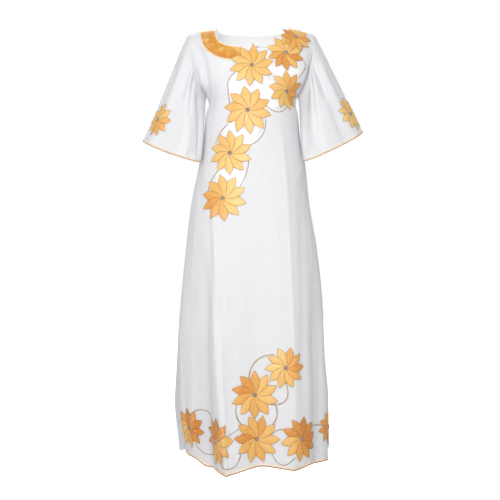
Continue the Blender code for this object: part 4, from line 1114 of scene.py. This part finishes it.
def makeScatterTree():
    # loose sequins strewn over a cloth
    tree, given = newTree("scatter")
    spots = addNode(tree, "GeometryNodeDistributePointsOnFaces", {
        "Mesh": given["Geometry"], "Density": given["Density"], "Seed": given["Seed"]})
    grain = addNode(tree, "GeometryNodeMeshIcoSphere", {"Subdivisions": 1, "Radius": given["Size"]})
    flat = addNode(tree, "GeometryNodeTransform", {"Geometry": grain, "Scale": (1.0, 1.0, 0.35)})
    return finishTree(tree, given, addNode(tree, "GeometryNodeInstanceOnPoints", {
        "Points": spots, "Rotation": spots.node.outputs["Rotation"], "Instance": flat,
        "Scale": uneven(tree, given, 0.6, 1.25)}))


trees = {"stitch": makeStitchTree(), "cord": makeCordTree(), "cluster": makeClusterTree(),
         "scatter": makeScatterTree()}

# What each grown piece is made of: its tree, its material, and the tree's inputs in their order
grownRows = {
    "petal_seams": ("stitch", "tanThread", 0.0030, 0.0042, 0.0011, 0.0009, 0.18, 11),
    "petal_outlines": ("stitch", "tanThread", 0.0028, 0.0038, 0.0013, 0.0010, 0.18, 12),
    "vines_tan": ("stitch", "tanThread", 0.0022, 0.0040, 0.0026, 0.0015, 0.18, 21),
    "vines_cream": ("stitch", "creamThread", 0.0022, 0.0030, 0.0027, 0.0014, 0.18, 22),
    "neck_stitches": ("stitch", "brownThread", 0.0030, 0.0030, 0.0012, 0.0009, 0.18, 31),
    "hem_stitches": ("stitch", "brownThread", 0.0042, 0.0028, 0.0009, 0.0008, 0.18, 41),
    "neck_edge_cord": ("cord", "peachCord", 0.0020, 0.0020, 8),
    "hem_piping_cord": ("cord", "rustPiping", 0.0017, 0.0035, 10),
    "cuff_left_piping_cord": ("cord", "ochrePiping", 0.0017, 0.0035, 10),
    "cuff_right_piping_cord": ("cord", "ochrePiping", 0.0017, 0.0035, 10),
    "bead_middles": ("cluster", "mauveBeads", 27, 0.0062, 0.0020, 0.00115, 3),
    "neck_beads": ("cluster", "mauveBeads", 4, 0.0028, 0.0008, 0.0012, 8),
    "hem_sequins": ("scatter", "clearSequins", 4400.0, 0.0016, 5),
}


def pathMesh(name, paths, closed=False):
    # a mesh of edges along each path, with the cloth's outward direction kept as "up"
    edges, start = [], 0
    for line, _ in paths:
        count = len(line)
        edges += [(start + i, start + (i + 1) % count) for i in range(count if closed else count - 1)]
        start += count
    mesh = bpy.data.meshes.new(name)
    mesh.from_pydata(np.concatenate([line for line, _ in paths]).tolist(), edges, [])
    attribute = mesh.attributes.new("up", "FLOAT_VECTOR", "POINT")
    attribute.data.foreach_set("vector", np.concatenate([up for _, up in paths]).astype(np.float32).ravel())
    return mesh


def growPiece(name, source):
    # runs a piece's tree on a source mesh and keeps the result as a plain mesh
    key, material, *row = grownRows[name]
    given = {"Material": materials[material], **dict(zip(treeInputs[key], row))}
    made = addObject(name, source)
    modifier = made.modifiers.new(key, "NODES")
    modifier.node_group = trees[key]
    for item in trees[key].interface.items_tree:
        if item.in_out == "INPUT" and item.name in given:
            modifier[item.identifier] = given[item.name]
    grown = bpy.data.meshes.new_from_object(made.evaluated_get(bpy.context.evaluated_depsgraph_get()))
    made.modifiers.remove(modifier)
    made.data = grown
    grown.name = name
    return made


def sewPiece(name, paths, closed=False):
    return growPiece(name, pathMesh(name, paths, closed))


def raised(paths, height):
    return [(line + up * height, up) for line, up in paths]


# Seams between petals, the outline of each flower, and the beads at its middle
seamPiece = sewPiece("petal_seams", raised(seamPaths, 0.0002))
outlinePiece = sewPiece("petal_outlines", raised(outlinePaths, 0.0001), True)
beadGap = 0.0010             # from the satin up to the lowest beads
middles = []
for flower in flowers.values():
    place = np.array([flower["u"]]), np.array([flower["v"]])
    up = outward(flower["plain"], *place, flower["hand"])
    over = pattern["cloth"] / 2 + flower["lift"] + petalShape["satin"] + beadGap
    middles.append((flower["cloth"](*place) + up * over, up))
clusterPiece = sewPiece("bead_middles", middles)


def makeSequins(name, flowerKeys):
    # white sequins strewn on the upper side of the petals
    grids = [patch["outer"] for key in flowerKeys for patch in flowerPatches[key]]
    rows, count = grids[0].shape[:2]
    faces = [gridQuads(rows, count, i * rows * count)[:, ::-1] for i in range(len(grids))]
    mesh = bpy.data.meshes.new(name)
    mesh.from_pydata(np.concatenate(grids).reshape(-1, 3).tolist(), [], np.concatenate(faces).tolist())
    return growPiece(name, mesh)


sequinPiece = makeSequins("hem_sequins", ("hem_left", "hem_side"))

# Vines: each arc runs from one flower to another, from a bearing and share of the radius to
# another, with its bulge as a share of its length, and whether a cream line runs beside it.
vineRows = (
    ("neck_middle", 207, 1.06, "bust", 140, 0.91, -0.12, False),
    ("bust", 205, 0.86, "waist_upper", 126, 0.92, -0.1, False),
    ("bust", 312, 0.96, "waist_upper", 11, 0.96, 0.13, False),
    ("bust", 11, 0.75, "armhole", 278, 0.85, -0.26, False),
    ("neck_right", 348, 0.76, "armhole", 65, 1.36, 0.3, False),
    ("waist_upper", 226, 1.11, "waist_lower", 137, 0.84, -0.08, False),
    ("waist_upper", 323, 0.96, "waist_lower", 32, 1.01, 0.05, False),
    ("skirt_upper", 149, 1.03, "skirt_middle", 108, 0.95, -0.14, True),
    ("skirt_upper", 280, 1.03, "skirt_middle", 342, 0.99, 0.23, True),
    ("skirt_middle", 336, 1.03, "hem_middle", 47, 1.02, 0.12, True),
    ("skirt_middle", 216, 0.93, "hem_middle", 142, 0.93, -0.12, True),
    ("hem_middle", 155, 0.91, "hem_left", 17, 0.69, 0.04, False),
    ("hem_middle", 228, 1.03, "hem_left", 298, 1.2, 0.24, False),
    ("hem_middle", 26, 0.98, "hem_right", 156, 0.82, 0.1, True),
    ("hem_middle", 318, 1.15, "hem_right", 241, 1.17, -0.27, False),
    ("hem_side", 67, 0.75, "hem_left", 107, 0.78, 0.22, False),
    ("hem_side", 291, 1.16, "hem_left", 225, 0.6, -0.25, False),
    ("hem_right", 38, 0.8, "hem_corner", 172, 0.5, 0.05, True),
)
vines = {
    "reach": 0.012,              # how far each end runs on under the petals
    "points": 26,
    "lift": 0.0004,
    "creamLift": 0.0005,
    "creamBeside": 0.0026,       # from the tan line's middle to the cream line's
}


def frontPath(us, vs, height):
    # a path on the front cloth, raised over it
    ups = outward(plainFront, us, vs, -1.0)
    return frontCloth(us, vs) + ups * (pattern["cloth"] / 2 + height), ups


def vinePath(row, beside, height):
    name0, bearing0, share0, name1, bearing1, share1, bulge, _ = row
    ends = []
    for name, bearing, share in ((name0, bearing0, share0), (name1, bearing1, share1)):
        flower = flowers[name]
        ends.append(walk(plainFront, flower["u"], flower["v"], [bearing], [share * flower["radius"]]))
    (u0, v0), (u1, v1) = ends
    perU, perV = [np.linalg.norm(along) for along in tangents(plainFront, (u0 + u1) / 2, (v0 + v1) / 2)]
    dx, dy = (u1 - u0) * perU, (v1 - v0) * perV
    length = np.hypot(dx, dy)
    over = vines["reach"] / length[0]
    s = np.linspace(-over, 1.0 + over, vines["points"])
    out = bulge * 4 * s * (1 - s) + beside / length
    return frontPath(u0 + (u1 - u0) * s + out * dy / perU, v0 + (v1 - v0) * s - out * dx / perV, height)


tanPaths = [vinePath(row, 0.0, vines["lift"]) for row in vineRows]
creamPaths = [vinePath(row, vines["creamBeside"], vines["creamLift"]) for row in vineRows if row[-1]]
vinePieces = [sewPiece("vines_tan", tanPaths), sewPiece("vines_cream", creamPaths)]

# Round the neck: a cord on the band's two edges, stitches beside its outer one and along the bare
# edge at the right, and two small clusters of beads there, each placed by its turn.
neckLines = {
    "stitched": (0.02, 0.62, 60),        # first and last turn of the bare edge's stitches, and points
    "inset": 0.0016, "lift": 0.0003,
    "cordLift": 0.0004,
    "beadTurns": (0.085, 0.118), "beadLift": 0.0016,
}
neckU, neckV = neckEdge(np.linspace(*neckLines["stitched"]), "front")
neckBeads = neckEdge(np.array(neckLines["beadTurns"]), "front")
bandLines = [(bandTop[:, column], bandUps[:, column]) for column in (0, -2, -1)]
bareLine = frontPath(neckU, neckV + neckLines["inset"], neckLines["lift"])
neckPieces = [
    sewPiece("neck_stitches", [bandLines[1], bareLine]),
    sewPiece("neck_edge_cord", raised(bandLines[::2], neckLines["cordLift"])),
    sewPiece("neck_beads", [frontPath(*neckBeads, neckLines["beadLift"])]),
]
print("stitches, beads and vines made")

# Hem and cuffs: a piping on the edge, with a cream tape just inside it
edging = {
    "gap": 0.0003,                       # between the cloth and its piping
    "hem": (0.0010, 0.0075, 5),          # the tape's first and last row, inwards, and how many
    "cuff": (0.0008, 0.0040, 4),
    "low": 0.0001, "high": 0.0008,       # its two sides over the cloth
}


def makeEdging(short, surface, plain, hand, u, v, step, perV=1.0):
    # piping and tape along the edge (u, v) of a cloth, which runs out over the last step of v;
    # perV is the metres of cloth for 1 of v
    name, rows = short + "_piping_cord", np.linspace(*edging[short.split("_")[0]])[:, None]
    line = surface(u, v)
    centre = line + unit(line - surface(u, v - step)) * (grownRows[name][2] + edging["gap"])
    piping = sewPiece(name, [(centre, outward(plain, u, v, hand))], short != "hem")
    u, v = np.broadcast_arrays(u, v - rows / perV)
    normals, half = outward(plain, u, v, hand), pattern["cloth"] / 2
    uv = np.stack(np.broadcast_arrays(runAlong(line), rows), axis=-1)
    patch = layPatch(surface(u, v), normals, half + edging["low"], half + edging["high"], uv)
    tape = shellObject(short + "_tape", [patch], -hand, "creamTape")
    return piping, tape, (patch["outer"][3], normals[3])


hemEdge = [grid[-1] for grid in panelGrid("front")]
hemPiping, hemTape, hemLine = makeEdging("hem", frontCloth, plainFront, -1.0, *hemEdge, 0.004)
hemStitch = sewPiece("hem_stitches", [hemLine])
cuffTurns = np.linspace(-179.0, 179.0, 180)
cuffPieces = {}
for name, cloth in sleeveCloths.items():
    cuffPieces[name] = makeEdging(name.replace("sleeve", "cuff"), cloth, cloth, sleeveRows[name]["side"],
                                  cuffTurns, np.ones_like(cuffTurns), 0.01, sleeveShape["length"])[:2]
print("hem and cuffs edged")

# Each piece, the name of its finish, and the solids it stands for: each rides on the root, and those solids
# are hidden
pieceSlots = [(frontPiece, "white_cloth", ["front_panel"]), (backPiece, "white_cloth", ["back_panel"]),
              (bandPiece, "band_satin", ["neck_band"]), (hemPiping, "piping", ["hem_piping"]),
              (hemTape, "cream_tape", []), (sequinPiece, "beads", []),
              (clusterPiece, "beads", ["bead_" + name for name in flowers])]
pieceSlots += [(piece, "white_cloth", [name]) for name, piece in sleevePieces.items()]
for name, (piping, tape) in cuffPieces.items():
    pieceSlots += [(piping, "piping", ["cuff_piping_" + name.split("_")[1]]), (tape, "cream_tape", [])]
for name, piece in flowerPieces.items():
    satin = "hem_petal_satin" if name.startswith(("skirt", "hem")) else "petal_satin"
    pieceSlots.append((piece, satin, ["flower_" + name]))
pieceSlots += [(piece, "thread", [])
               for piece in (hemStitch, seamPiece, outlinePiece, *vinePieces, *neckPieces)]
for piece, slot, nodes in pieceSlots:
    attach(piece, "root")
    if nodes:
        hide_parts(*nodes)

# The pieces that lie on the front, gathered in one list
onFront = [piece for name, piece in flowerPieces.items() if not name.startswith("sleeve")]
onFront += [bandPiece, hemPiping, hemTape, hemStitch, seamPiece, outlinePiece, sequinPiece, clusterPiece]

# Studio: a pale floor, soft lights and a wide white surround
studio = {
    "floor": -1.46, "floorSize": 14.0, "floorThrow": 0.0,
    "distance": 2.9, "aimX": -0.005, "aimZ": -0.698, "frameWidth": 1.5835,
    "surroundFront": 0.36, "surroundBack": 0.46, "surroundSides": 0.42,
    "surroundTurn": (-0.6, 0.9),         # where the front's level starts to change, and ends
}
lights = {
    "key": {"place": (-0.25, -2.9, 0.12), "aim": (0.0, 0.0, -0.54), "size": 1.6, "power": 59.0},
    "fill": {"place": (-1.3, -2.9, -0.2), "aim": (0.0, 0.0, -0.6), "size": 2.4, "power": 8.0},
    "back": {"place": (-0.1, 1.6, 1.5), "aim": (0.0, 0.0, -0.1), "size": 1.5, "power": 42.0},
}


def whiteToCamera(tree, otherwise):
    # full white to the eye, and another level to all that it lights
    seen = addNode(tree, "LightPath", out="Is Camera Ray")
    return addNode(tree, "Mix", {"data_type": "FLOAT", 0: seen, 2: otherwise, 3: 1.0})


def makeFloor():
    # Matt white studio paper, bright enough to run into the surround.
    mesh = bpy.data.meshes.new("studio_floor")
    half, z = studio["floorSize"] / 2, studio["floor"]
    corners = [(-half, -half, z), (half, -half, z), (half, half, z), (-half, half, z)]
    mesh.from_pydata(corners, [], [(0, 1, 2, 3)])
    made, tree, shader, place = startMaterial("studio paper")
    colour = addRamp(tree, addNoise(tree, place, 6.0, 2.0), ((0.3, "#B4B4B4"), (0.7, "#BABABA")))
    fillNode(shader, {"Base Color": colour, "Roughness": 0.9, "Specular IOR Level": 0.1,
                      "Emission Color": (1, 1, 1, 1),
                      "Emission Strength": whiteToCamera(tree, studio["floorThrow"])})
    mesh.materials.append(made)
    addObject("studio_floor", mesh)


def makeWorld():
    world = bpy.data.worlds.new("white surround")
    bpy.context.scene.world = world
    world.use_nodes = True
    tree = world.node_tree
    way = addNode(tree, "TexCoord")
    way = addNode(tree, "SeparateXYZ", {"Vector": way}).node.outputs
    start, end = studio["surroundTurn"]
    lit = addNode(tree, "MapRange", {
        "Value": way["Y"], "From Min": start, "From Max": end,
        "To Min": studio["surroundFront"], "To Max": studio["surroundBack"]})
    lit = addMath(tree, "MULTIPLY_ADD", addMath(tree, "ABSOLUTE", way["X"]), studio["surroundSides"], lit)
    fillNode(tree.nodes["Background"], {"Color": (1, 1, 1, 1), "Strength": whiteToCamera(tree, lit)})


makeFloor()
makeWorld()
for name, light in lights.items():
    data = bpy.data.lights.new(name, "AREA")
    data.shape, data.size, data.energy = "DISK", light["size"], light["power"]
    made = addObject(name, data)
    made.location = light["place"]
    toward = Vector(light["aim"]) - Vector(light["place"])
    made.rotation_euler = toward.to_track_quat("-Z", "Y").to_euler()
data = bpy.data.cameras.new("camera")
data.lens = data.sensor_width * studio["distance"] / studio["frameWidth"]
camera = addObject("camera", data)
camera.location = (studio["aimX"], -studio["distance"], studio["aimZ"])
camera.rotation_euler = (math.pi / 2, 0.0, 0.0)
bpy.context.scene.camera = camera
bpy.context.scene.view_settings.view_transform = "Standard"
print("studio set up")
